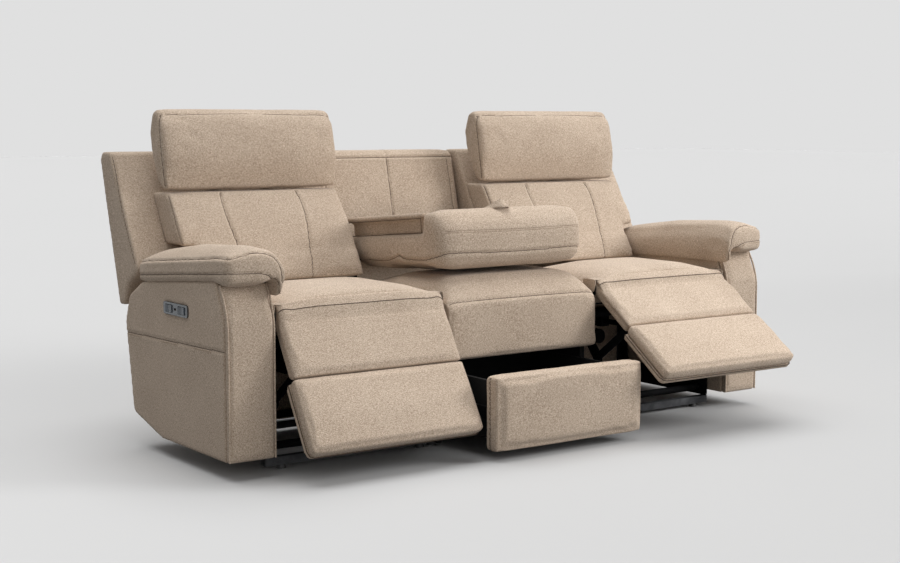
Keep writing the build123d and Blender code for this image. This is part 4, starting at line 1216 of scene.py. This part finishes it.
@dataclass
class Recliners:
    """Seats, footrests, backs and headrests of both recliners."""

    centre: float = 599.0
    pad_half: float = 285.0
    foot_half: float = 293.0
    head_inner: float = 304.0
    head_outer: float = 934.0
    hinge: tuple[float, float] = (34.0, 466.0)
    face: float = 22.0
    overhang: float = 8.0
    openings: tuple[float, float] = (30.5, 54.5)
    head_pivot: tuple[float, float] = (656.0, 806.0)
    seat_half: float = 293.0
    seat_top: float = 525.0
    lip: float = 489.5
    corner: tuple[float, float] = (215.0, 66.0)
    soft_edge: float = 17.0

    def forms(self) -> list[PaddedForm]:
        """Padded forms of the right recliner and its twin."""
        seat = PaddedForm("seat_cushion", "seat_pad", "base", Room(1, 1, 1, 0, 0, 1), voxel=0.008,
                          smoothing=4, cap=0.004, fill=0.85, source=self._seat_mesh, shape=self._shape_seat)
        bore = (circle(self.hinge, 8.0), self.centre - self.pad_half, self.centre + self.pad_half)
        leg_core = self._core(258.6, 432, self.pad_half - 0.5)
        foot_core = self._core(33, 257.4, self.foot_half - 0.5)
        hung = {"pivot": self.hinge, "turns": self.openings}
        leg = PaddedForm("leg_pad", "leg_rest_pad", "footrest", Room(8, 8, 5, 0, 0, 0), voxel=0.0065,
                         smoothing=3, cap=0.004, wrinkle=0.8, fill=0.85, plugs=(bore, leg_core),
                         shape=self._shape_leg, **hung)
        foot = PaddedForm("foot_pad", "foot_rest_pad", "footrest", Room(5, 6, 5, 0, 6, 0), voxel=0.0065,
                          smoothing=9, cap=0.005, wrinkle=0.8, fill=0.85, plugs=(foot_core,), **hung)
        board = PaddedForm("foot_board", "foot_rest_edge", "footrest", Room(1, 1, 1, 1, 1, 1), voxel=0.006,
                           smoothing=2, pressure=0.0, cap=0.0, wrinkle=0.3, fill=1.0, refine=False, **hung)
        return [seat, leg, foot, board] + self._back_forms()

    def _seat_mesh(self) -> Mesh:
        """Seat cushion as one even section, before its ends are rounded."""
        top = self.seat_top
        section = [(12, self.lip, 3), (75, self.lip, 3), (75, 404.5, 6), (505, 404.5, 8), (505, 480, 22),
                   (300, top, 500), (120, top, 150), (36, 511, 55)]
        ends = self.centre - self.seat_half, self.centre + self.seat_half
        return prisms_mesh("seat_cushion", [(rounded(section, 10), *ends)])

    def _shape_seat(self, places: np.ndarray) -> np.ndarray:
        """Round the seat's crown off towards both ends, down to its front lip, clear of the leg pad."""
        off = np.abs(places[:, 0] - self.centre * MM) / MM
        sole = 0.440
        foot = sole + ahead_of(places, 95, 0.03) * (self.lip * MM - sole)
        Crown(self.seat_half, self.seat_top, self.corner, sag=4, least=0.06).lower(places, off, foot)
        bend = np.clip((off - self.seat_half + 14) / 14, 0, 1)
        places[:, 1] += 0.010 * quarter(bend) * ahead_of(places, 60, 0.03)
        below = places[:, 2] < (self.lip - 6) * MM
        places[below, 1] = np.maximum(places[below, 1], place(0, 74, 0).y)
        ahead = places[:, 1] < place(0, 70, 0).y
        places[ahead, 2] = np.maximum(places[ahead, 2], (self.lip + 0.8) * MM)
        return places

    def _core(self, low: float, high: float, half: float) -> Plate:
        """Plate that keeps a footrest pad full out to its corners."""
        front = self.hinge[0] - self.face + 3
        outline = [(front, low), (front + 25, low), (front + 25, high), (front, high)]
        return outline, self.centre - half, self.centre + half

    def _shape_leg(self, places: np.ndarray) -> np.ndarray:
        """Widen the leg pad's face beyond the hinge plates and keep its nose round about the hinge."""
        axis = place(self.centre, *self.hinge)
        below = np.clip((axis.z - places[:, 2] - 0.014) / 0.028, 0, 1)
        depth = places[:, 1] - (axis.y - self.face * MM)
        share = below * np.clip(1.5 - depth / 0.008, 0, 1)
        edge = self.soft_edge * MM
        bend = np.clip((np.abs(places[:, 0] - axis.x) - self.pad_half * MM + edge) / edge, 0, 1)
        back = edge * quarter(bend) * below * np.clip(1.6 - depth / 0.016, 0, 1)
        places[:, 0] += (places[:, 0] - axis.x) * share * self.overhang / self.pad_half
        places[:, 1] += back
        centre = np.array((axis.y, axis.z))
        off = places[:, 1:] - centre
        reach = np.linalg.norm(off, axis=1)
        limit = (self.face - 0.5) * MM
        relax = np.clip((-off[:, 1] - 0.024) / 0.022, 0, 1) * 0.006
        places[:, 1] = np.maximum(places[:, 1], axis.y - limit - relax)
        above = (off[:, 1] > -0.004) & (reach > limit)
        places[above, 1:] = centre + off[above] * (limit / reach[above])[:, None]
        return places

    def dress_knees(self, cloth: Material, sewing: Haberdashery) -> None:
        """Cloth that joins each seat's lip to its leg pad."""
        halves = self.pad_half + 5, self.seat_half - 2
        for side, opening in zip(Side, self.openings):
            KneeCover(side, self.centre, self.hinge, opening, *halves).build(cloth, sewing)

    def dress_cheeks(self, cloth: Material) -> None:
        """Cloth cheek at each end of a seat's lip, outside the hinge plate."""
        corners = [(17, 491.5, 8), (78, 491.5, 4), (78, 438, 8), (46, 438, 12), (24, 453, 10), (17, 472, 8)]
        outline = rounded(corners)
        for side in Side:
            plates = []
            for end in (-1, 1):
                faces = [side.value * self.centre + end * (self.seat_half + off) for off in (-0.6, 1.4)]
                plates.append((outline, *sorted(faces)))
            label = f"{side.label}_seat_cheeks"
            piece = make_object(label, prisms_mesh(label, plates))
            piece.data.materials.append(cloth)
            dress(piece, "base")

    def dress_edges(self, sewing: Haberdashery) -> None:
        """Dark cord in the joint between each foot pad and the covered board behind it: painted shade of the
        gap.
        """
        y, half = self.hinge[0] - self.face + 40.0, self.foot_half + 1.5
        ring = [(-half, 250), (-half, 50), (-half + 6, 36), (-half + 20, 30.5),
                (half - 20, 30.5), (half - 6, 36), (half, 50), (half, 250)]
        for side, opening in zip(Side, self.openings):
            turn = turn_about(self.hinge, opening)
            knots = [place(side.value * self.centre + u, y, z) for u, z in ring]
            rows = [spline((a, b), 0.005) for a, b in zip(knots, knots[1:])]
            places = np.array([turn @ Vector(p) for row in rows for p in row])
            # Dark cord laid in the pad-to-board gap: painted shade of the joint.
            dress(sewing.thread(f"{side.label}_foot_joint", [places], 0.0016), f"{side.label}_footrest")

    def _back_forms(self) -> list[PaddedForm]:
        """Padded forms of the back: lumbar cushion, headrest and the shell with its wing."""
        left, right = self.head_inner, self.head_outer
        centre = (left + right) / 2
        curve = ((137, 624, 788), (143, 602, 752), (142, 575, 714), (134, 534, 650), (124, 500, 590),
                 (104, 462, 505))
        seams = [Seam(tuple((centre + s * off, y - 14, z) for off, y, z in curve), 4.0, 4.0) for s in (-1, 1)]
        edge = ((640, 786), (612, 745), (578, 690), (540, 632), (505, 570), (482, 520))
        seams.append(Seam(tuple((left + 4, y, z) for y, z in edge), 3.0, 4.0))
        seams.append(Seam(tuple((right - 4, y - 6, z) for y, z in edge[:4]), 3.0, 4.0))
        lumbar = PaddedForm("lumbar_cushion", "lumbar_pad", "back", Room(1, 2, 24, 0, 2, 0), smoothing=4,
                            cap=0.024, seams=tuple(seams), plugs=self._lumbar_cores())
        sides = ((648, 806), (658, 880), (670, 950), (680, 1005), (672, 1032))
        panel = [(left + 4, y, z) for y, z in sides]
        panel += [(left + 26, 668, 1043), (centre, 668, 1046), (right - 26, 668, 1043)]
        panel += [(right - 4, y, z) for y, z in sides[::-1]]
        y, z = self.head_pivot
        bore = (circle((y, z), 9.0), centre - 192, centre + 192)
        hem = [(y - 11, z - 11), (y + 12, z - 11), (y + 42, z + 18), (y + 60, z + 90), (y - 20, z + 90)]
        head = PaddedForm("headrest_cushion", "headrest_pad", "headrest", Room(1, 4, 10, 6, 0, 4),
                          smoothing=4, cap=0.012, seams=(Seam(tuple(panel), 3.2, 4.0),), wrinkle=0.9,
                          fill=0.85, plugs=(bore, (hem, left + 3, right - 3)))
        wing = ((1036, 800, 900), (1036, 744, 763), (1036, 690, 655), (1036, 640, 568))
        wing_seam = Seam(wing, 2.8, 4.0, Stitching.SINGLE)
        shell = PaddedForm("back_cover", "back_shell", "back", Room(0, 0, 0, 0, 0, 0), voxel=0.007,
                           smoothing=3, pressure=0.0, cap=0.0, seams=(wing_seam,), wrinkle=0.8, fill=0.9,
                           source=self._shell_mesh, refine=False)
        return [lumbar, head, shell]

    def _lumbar_cores(self) -> tuple[Plate, ...]:
        """Plates that keep the lumbar cushion full at its outer side, above the arm, and along its foot."""
        side = [(526, 625), (650, 625), (740, 780), (620, 780), (547, 676)]
        foot = [(447, 508), (520, 508), (560, 590), (492, 590), (462, 540)]
        return (side, 870, self.head_outer - 3), (foot, self.head_inner + 12, 866)

    @staticmethod
    def _shell_mesh() -> Mesh:
        """Closed outer form of the back and its wing."""
        body = [(592, 440, 8), (766, 440, 12), (890, 888, 14), (872, 908, 18), (812, 908, 26), (592, 514, 40)]
        wing = [(611, 548, 10), (690, 506, 30), (724, 434, 14), (764, 432, 10), (896, 890, 16),
                (878, 912, 18), (812, 912, 26)]
        return prisms_mesh("back_shell", [(rounded(body), 304, 893), (rounded(wing), 870, 1040)])


@dataclass(frozen=True)
class Strap:
    """Run of the pull strap over the table's nose, with the table level; millimetres."""

    ends: tuple[float, float] = (-95.0, 60.0)
    tab: float = 22.0
    rise: float = 18.0
    lean: float = 2.5
    droop: float = 30.0
    width: float = 26.0
    thick: float = 2.4
    seat: tuple[float, float] = (122.0, 692.3)
    slope: float = 5.63

    def stations(self) -> np.ndarray:
        """Places across the table, close together in the bow."""
        first, last = self.ends
        bow = np.linspace(first + self.tab, last - self.tab, 41)
        return np.concatenate(([first, first + self.tab / 2], bow, [last - self.tab / 2, last]))

    def height(self, x: float) -> float:
        """Height of the band above its tabs."""
        half = (self.ends[1] - self.ends[0]) / 2 - self.tab
        share = min(abs(x - sum(self.ends) / 2) / half, 1.0)
        return self.rise * (1 + math.cos(math.pi * share)) / 2

    def length(self) -> float:
        """Length of the band laid flat."""
        knots = [(x, self.height(x), self.lean * self.height(x)) for x in self.stations()]
        return sum(math.dist(a, b) for a, b in zip(knots, knots[1:]))

    def spot(self, x: float, across: float, above: float = 0.0) -> Vector:
        """Point of the band; across runs from -1 at its front edge to 1 at its rear edge."""
        lift = self.height(x)
        v = across * self.width / 2 - self.lean * lift
        h = lift + self.thick / 2 + 0.3 + above + 0.5 * self.droop * (across - 0.4) * lift / self.rise
        sine, cosine = math.sin(math.radians(self.slope)), math.cos(math.radians(self.slope))
        y, z = self.seat
        return place(x, y + v * cosine + h * sine, z - v * sine + h * cosine)


@dataclass
class RearCloth:
    """Cloth over the rear of the base: a skirt behind each recliner and a panel behind the middle back."""

    COLUMNS = 48
    ROW_STEP = 12  # millimetres between rows
    PULL = 1.1  # millimetres that the cloth is pulled in and out
    HEM = 6  # millimetres from a panel's edge to its stitches

    centre: float = 599.0
    half: float = 286.0
    middle_half: float = 298.0
    skirt: tuple[float, float, float] = (559.0, 40.0, 385.0)
    middle: Profile = ((702.0, 398.0), (772.0, 520.0), (891.0, 887.0))

    def build(self, cloth: Material, sewing: Haberdashery) -> None:
        """Make the three panels and sew their hems."""
        y, low, high = self.skirt
        skirt = ((y, low), (y, high))
        panels = []
        for side in Side:
            panels.append((side.label + "_rear_skirt", side.value * self.centre, self.half, skirt, ()))
        panels.append(("middle_rear_panel", 0.0, self.middle_half, self.middle, ("rear_panels",)))
        for i, (name, centre, half, line, nodes) in enumerate(panels):
            piece = self._panel(name, centre, half, line, 1.3 * i)
            piece.data.materials.append(cloth)
            dress(piece, "base", *nodes)
            edges = (centre - (half - self.HEM), centre + (half - self.HEM))
            hem = [spline([place(x, y + 2.2, z) for y, z in line], TRIM_STEP) for x in edges]
            sewing.stitch(name + "_stitches", "base", hem)

    def _panel(self, name: str, centre: float, half: float, line: Profile, seed: float) -> Object:
        """One panel along a (y, z) line, with shallow pulls in the cloth."""
        rows = []
        for a, b in zip(line, line[1:]):
            rows.append(np.linspace(a, b, max(6, int(math.dist(a, b) / self.ROW_STEP)), endpoint=False))
        spots = np.vstack(rows + [np.array([line[-1]])])
        grid = []
        for k, (y, z) in enumerate(spots):
            ease = min(1.0, 6 * (min(k, len(spots) - 1 - k) / len(spots)))
            row = []
            for x in np.linspace(centre - half, centre + half, self.COLUMNS):
                pull = self.PULL * noise.noise(Vector((x * 0.012 + seed, z * 0.004, seed))) * ease
                row.append(place(x, y + pull, z))
            grid.append(row)
        piece = make_object(name, grid_mesh(name, grid))
        thicken(piece, SHEET_THICK, 0.0)
        return piece


@dataclass
class MiddleUnit:
    """Middle seat, its back, the fold-down table and the drawer."""

    table_pivot: tuple[float, float] = (550.0, 555.0)
    table_tilt: float = 5.0
    table_half: float = 286.0
    seat_half: float = 296.0
    seat_top: float = 527.0
    corner: tuple[float, float] = (100.0, 50.0)
    strap: Strap = field(default_factory=Strap)

    def forms(self) -> list[PaddedForm]:
        """Padded forms of the middle unit."""
        lip = Seam(tuple((x, 4, 458) for x in (-296, -200, 0, 200, 296)), 3.2, 4.0)
        seat = PaddedForm("middle_seat_cushion", "middle_seat_pad", "base", Room(2, 2, 5, 0, 1, 1),
                          voxel=0.008, smoothing=4, cap=0.005, seams=(lip,), fill=0.85, twin=False,
                          source=self._seat_mesh, shape=self._shape_seat)
        roll = Seam(tuple((x, 803, 884) for x in (-294, 0, 294)), 3.5, 4.0, Stitching.SINGLE)
        mid = Seam(((0, 803, 880), (0, 768, 720), (0, 740, 570)), 3.0, 4.0)
        border = [((s * 262, 803, 880), (s * 264, 768, 720), (s * 266, 740, 570)) for s in (-1, 1)]
        seams = (roll, mid, *(Seam(line, 2.6, 4.0) for line in border))
        back = PaddedForm("middle_back_pad", "middle_back_pad", "base", Room(0.5, 0.5, 6, 0, 0, 1),
                          voxel=0.008, smoothing=3, pressure=3.0, cap=0.008, seams=seams, wrinkle=0.8,
                          fill=0.85, twin=False)
        return [seat, back] + self._table_forms() + self._drawer_forms()

    def _seat_mesh(self) -> Mesh:
        """Middle seat as one even section, before its ends are rounded."""
        top = self.seat_top
        section = [(0, 274, 12), (62, 274, 4), (62, 404.5, 4), (505, 404.5, 8), (505, 479, 22),
                   (300, top, 500), (110, top, 120), (0, 475, 60)]
        return prisms_mesh("middle_seat_cushion", [(rounded(section, 10), -self.seat_half, self.seat_half)])

    def _shape_seat(self, places: np.ndarray) -> np.ndarray:
        """Round the seat's crown off towards both ends."""
        off = np.abs(places[:, 0]) / MM
        Crown(self.seat_half, self.seat_top, self.corner, sag=5).lower(places, off, 0.400)
        return places

    def _table_forms(self) -> list[PaddedForm]:
        """Padded cushion of the table and its tray, worked level."""
        half = self.table_half
        level = turn_about(self.table_pivot, -self.table_tilt)

        def flat(points: Sequence[Point]) -> tuple[Point, ...]:
            spots = [level @ place(*p) for p in points]
            return tuple((s.x / MM, s.y / MM - FRONT_Y, s.z / MM) for s in spots)

        side = [(half, 298, 580), (half, 262, 569), (half, 209, 569), (half, 150, 576), (half - 3, 90, 590),
                (half - 18, 56, 598)]
        front = [(half - 60, 46, 601), (120, 44, 598), (0, 44, 596), (-120, 44, 598), (60 - half, 46, 601)]
        low = Seam(flat(side + front + [(-x, y, z) for x, y, z in side[::-1]]), 4.0, 4.5)
        brow = [(half - 20, 62, 668), (half - 70, 50, 670), (0, 48, 668), (70 - half, 50, 670),
                (20 - half, 62, 668)]
        high = Seam(flat(brow), 1.4, 3.5, Stitching.TOP_ONLY)
        rear = [[(s * half, 298, 580), (s * half, 390, 546), (s * half, 505, 531)] for s in (-1, 1)]
        seams = (low, high, *(Seam(flat(line), 3.0, 4.0) for line in rear))
        tilted = {"twin": False, "pivot": self.table_pivot, "turns": (self.table_tilt, self.table_tilt)}
        cushion = PaddedForm("table_cushion", "table_pad", "table", Room(8, 8, 6, 0, 10, 3), smoothing=22,
                             cap=0.012, seams=seams, wrinkle=0.9, fill=0.85, shape=self._shape_nose, **tilted)
        tray = PaddedForm("table_tray", "table_tray_cover", "table", Room(0, 0, 0, 0, 0, 0), voxel=0.006,
                          smoothing=1, pressure=0.0, cap=0.0, wrinkle=0.2, fill=1.0, **tilted)
        return [cushion, tray]

    @staticmethod
    def _shape_nose(places: np.ndarray) -> np.ndarray:
        """Let the nose of the table hang lower, and widen it."""
        spot = place(0, 95, 580)
        along = np.exp(-(((places[:, 1] - spot.y) / 0.06) ** 2))
        places[:, 2] -= 0.010 * along * fall(places[:, 2], spot.z, 0.05)
        places[:, 0] *= 1 + 0.024 * ahead_of(places, 175, 0.04)
        return places

    def dress_rims(self, sewing: Haberdashery) -> None:
        """Dark lines of painted shade along the edges of the recessed band on the table's sides, sharpening
        the recess.
        """
        turn = turn_about(self.table_pivot, self.table_tilt)
        front, rear, low, high = 158, 590, 627, 673
        # Dark lines at the recess band's edges: painted shade that stands for the recess's crisp shaded rims.
        lines = [((front, low), (front, high)), ((front, high), (rear, high)), ((front, low), (rear, low))]
        paths = []
        for side in (-1, 1):
            x = side * (self.table_half - 0.4)
            for line in lines:
                level = spline([place(x, y, z) for y, z in line], TRIM_STEP)
                places = np.array([turn @ Vector(p) for p in level])
                normals = np.tile((float(side), 0.0, 0.0), (len(places), 1))
                paths.append(SewnPath(places, normals, Stitching.NONE))
        sewing.sew("table_rim", "table", paths)

    def dress_strap(self, cloth: Material, sewing: Haberdashery) -> None:
        """Cloth band on the table's nose, sewn down at both ends and bowed up between them."""
        strap = self.strap
        turn = turn_about(self.table_pivot, self.table_tilt)
        grid = [[turn @ strap.spot(x, v) for v in np.linspace(-1, 1, 7)] for x in strap.stations()]
        piece = make_object("pull_strap_band", grid_mesh("pull_strap_band", grid))
        thicken(piece, strap.thick * MM, 0.0, fine=True)
        piece.data.materials.append(cloth)
        dress(piece, "table", "pull_strap")
        strap.length() * MM
        edge, above = 0.74, 1.9
        rows = [[turn @ strap.spot(x, v, above) for x in strap.stations()] for v in (-edge, edge)]
        first, last = strap.ends
        for x in (first + 4, first + strap.tab - 3, last - strap.tab + 3, last - 4):
            rows.append([turn @ strap.spot(x, v, above) for v in np.linspace(-edge, edge, 5)])
        sewing.stitch("pull_strap_stitches", "table", rows, Spacing=0.005, Length=0.0036, Radius=0.0005)

    @staticmethod
    def _drawer_forms() -> list[PaddedForm]:
        """Padded drawer front with the groove in front of its backing."""
        ring = [(-291, 40), (-291, 255), (-280, 266), (280, 266), (291, 255), (291, 40), (280, 29),
                (-280, 29), (-291, 40)]
        groove = Seam(tuple((x, -196, z) for x, z in ring), 5.0, 4.0, sharp=True)
        core = ([(-231, 32.5), (-190, 32.5), (-190, 255.5), (-231, 255.5)], -289, 289)
        return [PaddedForm("drawer_front", "drawer_front_pad", "drawer", Room(3, 3, 5, 0, 2, 2), voxel=0.0065,
                           smoothing=2, cap=0.008, seams=(groove,), wrinkle=0.8, fill=0.9, twin=False,
                           plugs=(core,))]


@dataclass
class Hardware:
    """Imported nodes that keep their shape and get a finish."""

    finishes: Finishes

    def dress(self, nodes: dict[str, Object]) -> None:
        """Give every kept node its material."""
        kinds = {
            self.finishes.black_steel: (
                "seat_frame", "drive_tube", "coupler_links", "actuator_motor", "actuator_rod",
                "back_hardware", "table_hinge_brackets", "drawer_slides", "drawer_channels", "foot_brackets"),
            self.finishes.rail_steel: ("base_rails",),
            self.finishes.wood: ("arm_frames", "back_frame"),
            self.finishes.cloth: ("middle_back_frame",),
            self.finishes.dust: ("middle_frame", "drawer_box"),
            self.finishes.web: ("seat_webbing",),
            self.finishes.glide: ("feet",),
            self.finishes.chrome: ("cup_holders",),
            self.finishes.gunmetal: ("switch_bezel",),
            self.finishes.key: ("rocker_front", "rocker_rear"),
        }
        for material, endings in kinds.items():
            for name, node in nodes.items():
                if name.removeprefix("left_").removeprefix("right_") in endings:
                    node.data.materials.clear()
                    node.data.materials.append(material)


@dataclass(frozen=True)
class Studio:
    """Pale floor, soft lights and the camera."""

    camera_at: Point = (-2.95587, -4.02408, 1.00430)
    yaw: float = 35.432
    pitch: float = 5.979
    lens: float = 60.589
    ambient: float = 0.30
    top: float = 0.79
    top_from: Point = (0.05, 0.20, 0.97)
    top_spread: float = 62.0
    fill: float = 0.31
    fill_from: Point = (0.15, -0.97, 0.15)
    fill_spread: float = 70.0
    key: float = 0.65
    key_at: Point = (3.55, -3.05, 2.50)
    key_aim: Point = (0.55, -0.10, 0.55)
    key_size: float = 1.8
    floor_shade: tuple[float, float] = (0.72, 0.74)
    floor_bounce: float = 0.22

    def build(self) -> None:
        """Set up the stage."""
        scene = bpy.context.scene
        scene.view_settings.view_transform = "Standard"
        self._camera(scene)
        self._world(scene)
        self._lights()
        self._floor()

    def _camera(self, scene: bpy.types.Scene) -> None:
        """Camera at the photographed angle."""
        data = bpy.data.cameras.new("camera")
        data.sensor_width = 36.0
        data.sensor_fit = "HORIZONTAL"
        data.lens = self.lens
        data.clip_end = 100
        camera = bpy.data.objects.new("camera", data)
        camera.location = self.camera_at
        camera.rotation_euler = (math.radians(90 - self.pitch), 0, math.radians(-self.yaw))
        scene.collection.objects.link(camera)
        scene.camera = camera

    def _world(self, scene: bpy.types.Scene) -> None:
        """Even ambient light with a pale grey backdrop for the camera and for reflections."""
        world = bpy.data.worlds.new("studio")
        scene.world = world
        world.use_nodes = True
        tree = world.node_tree
        tree.nodes.clear()
        path = add_node(tree, "ShaderNodeLightPath").outputs
        seen = path["Is Camera Ray"]
        for label in ("Is Glossy Ray", "Is Transmission Ray"):
            either = add_node(tree, "ShaderNodeMath", {"operation": "MAXIMUM"}, i0=seen, i1=path[label])
            seen = either.outputs[0]
        light = add_node(tree, "ShaderNodeBackground", Color=(1.0, 1.0, 1.0, 1.0), Strength=self.ambient)
        backdrop = add_node(tree, "ShaderNodeBackground", Color=srgb(224, 224, 224))
        mix = add_node(tree, "ShaderNodeMixShader", i0=seen, i1=light.outputs[0], i2=backdrop.outputs[0])
        add_node(tree, "ShaderNodeOutputWorld", Surface=mix.outputs[0])

    def _lights(self) -> None:
        """Soft light from overhead, a weak one from the front and a key from the front right."""
        suns = (("top", self.top, self.top_from, self.top_spread),
                ("fill", self.fill, self.fill_from, self.fill_spread))
        for name, share, origin, angle in suns:
            data = bpy.data.lights.new(name, "SUN")
            data.energy = share * math.pi
            data.angle = math.radians(angle)
            self._hang(data, Vector((0, 0, 0)), -Vector(origin))
        away = Vector(self.key_aim) - Vector(self.key_at)
        data = bpy.data.lights.new("key", "AREA")
        data.size = self.key_size
        data.energy = self.key * (math.pi * away.length) ** 2
        self._hang(data, Vector(self.key_at), away)

    @staticmethod
    def _hang(data: bpy.types.Light, spot: Vector, towards: Vector) -> None:
        """Place a lamp that shines in a direction."""
        lamp = bpy.data.objects.new(data.name, data)
        lamp.location = spot
        lamp.rotation_euler = towards.to_track_quat("-Z", "Y").to_euler()
        bpy.context.scene.collection.objects.link(lamp)

    def _floor(self) -> None:
        """Pale floor that takes the shadow, its shade evened out for the key's fall-off."""
        half, far = 40.0, 20.0
        rows = [[(x, y, 0.0) for x in (-half, half)] for y in (-half, half)]
        floor = make_object("floor", grid_mesh("floor", rows))
        shader = Shader("pale_floor")
        path = shader.add("LightPath").outputs
        seen = shader.math("MAXIMUM", path["Is Camera Ray"], path["Is Glossy Ray"])
        seen = shader.math("MAXIMUM", seen, path["Is Transmission Ray"])
        below_key = (*self.key_at[:2], 0.0)
        apart = shader.add("VectorMath", {"operation": "DISTANCE"}, i0=shader.coordinates(), i1=below_key)
        stops = []
        for metres in (0.0, 2.0, 3.0, 4.0, 5.0, 6.0, 7.0, 9.0, 12.0, far):
            shade = self.floor_shade[0] if metres < 6 else self.floor_shade[1]
            grey = min(1.0, shade / self._floor_light(metres))
            stops.append((metres / far, (grey, grey, grey, 1.0)))
        pale = shader.ramp(shader.math("DIVIDE", apart.outputs["Value"], far), stops)
        mix = shader.add("MixRGB", Fac=seen, Color1=(*[self.floor_bounce] * 3, 1.0), Color2=pale)
        material = shader.close(Base_Color=mix.outputs[0], Roughness=0.6, Specular_IOR_Level=0.0)
        floor.data.materials.append(material)

    def _floor_light(self, metres: float) -> float:
        """Light on open floor at a distance from the point below the key, as a share of full light."""
        at, aim = Vector(self.key_at), Vector(self.key_aim)
        across = Vector((aim.x - at.x, aim.y - at.y, 0.0)).normalized()
        ray = across * metres - Vector((0, 0, at.z))
        away = aim - at
        facing = max(0.0, ray.normalized().dot(away.normalized()))
        key = self.key * (away.length / ray.length) ** 2 * (at.z / ray.length) * facing
        suns = ((self.top, self.top_from), (self.fill, self.fill_from))
        overhead = sum(share * Vector(origin).normalized().z for share, origin in suns)
        return self.ambient + overhead + key


def puff(forms: Sequence[PaddedForm]) -> None:
    """Run the cloth of all forms together, frame by frame."""
    scene = bpy.context.scene
    for frame in range(1, CLOTH_FRAMES + 1):
        scene.frame_set(frame)
    for form in forms:
        form.settle()
    scene.frame_set(1)


def main() -> None:
    """Build the sofa's looks piece by piece."""
    logging.basicConfig(level=logging.INFO, format="%(name)s: %(message)s")
    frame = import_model()
    Studio().build()
    finishes = Finishes()
    sewing = Haberdashery(finishes)
    arms, recliners, middle = Arms(), Recliners(), MiddleUnit()
    forms = arms.forms() + recliners.forms() + middle.forms()
    for form in forms:
        form.prepare(frame["nodes"])
    puff(forms)
    for form in forms:
        form.deliver(finishes.cloth, sewing)
    arms.dress_trim(sewing)
    recliners.dress_knees(finishes.cloth, sewing)
    recliners.dress_cheeks(finishes.cloth)
    recliners.dress_edges(sewing)
    middle.dress_rims(sewing)
    middle.dress_strap(finishes.cloth, sewing)
    RearCloth().build(finishes.cloth, sewing)
    Hardware(finishes).dress(frame["nodes"])


if __name__ == "__main__":
    main()
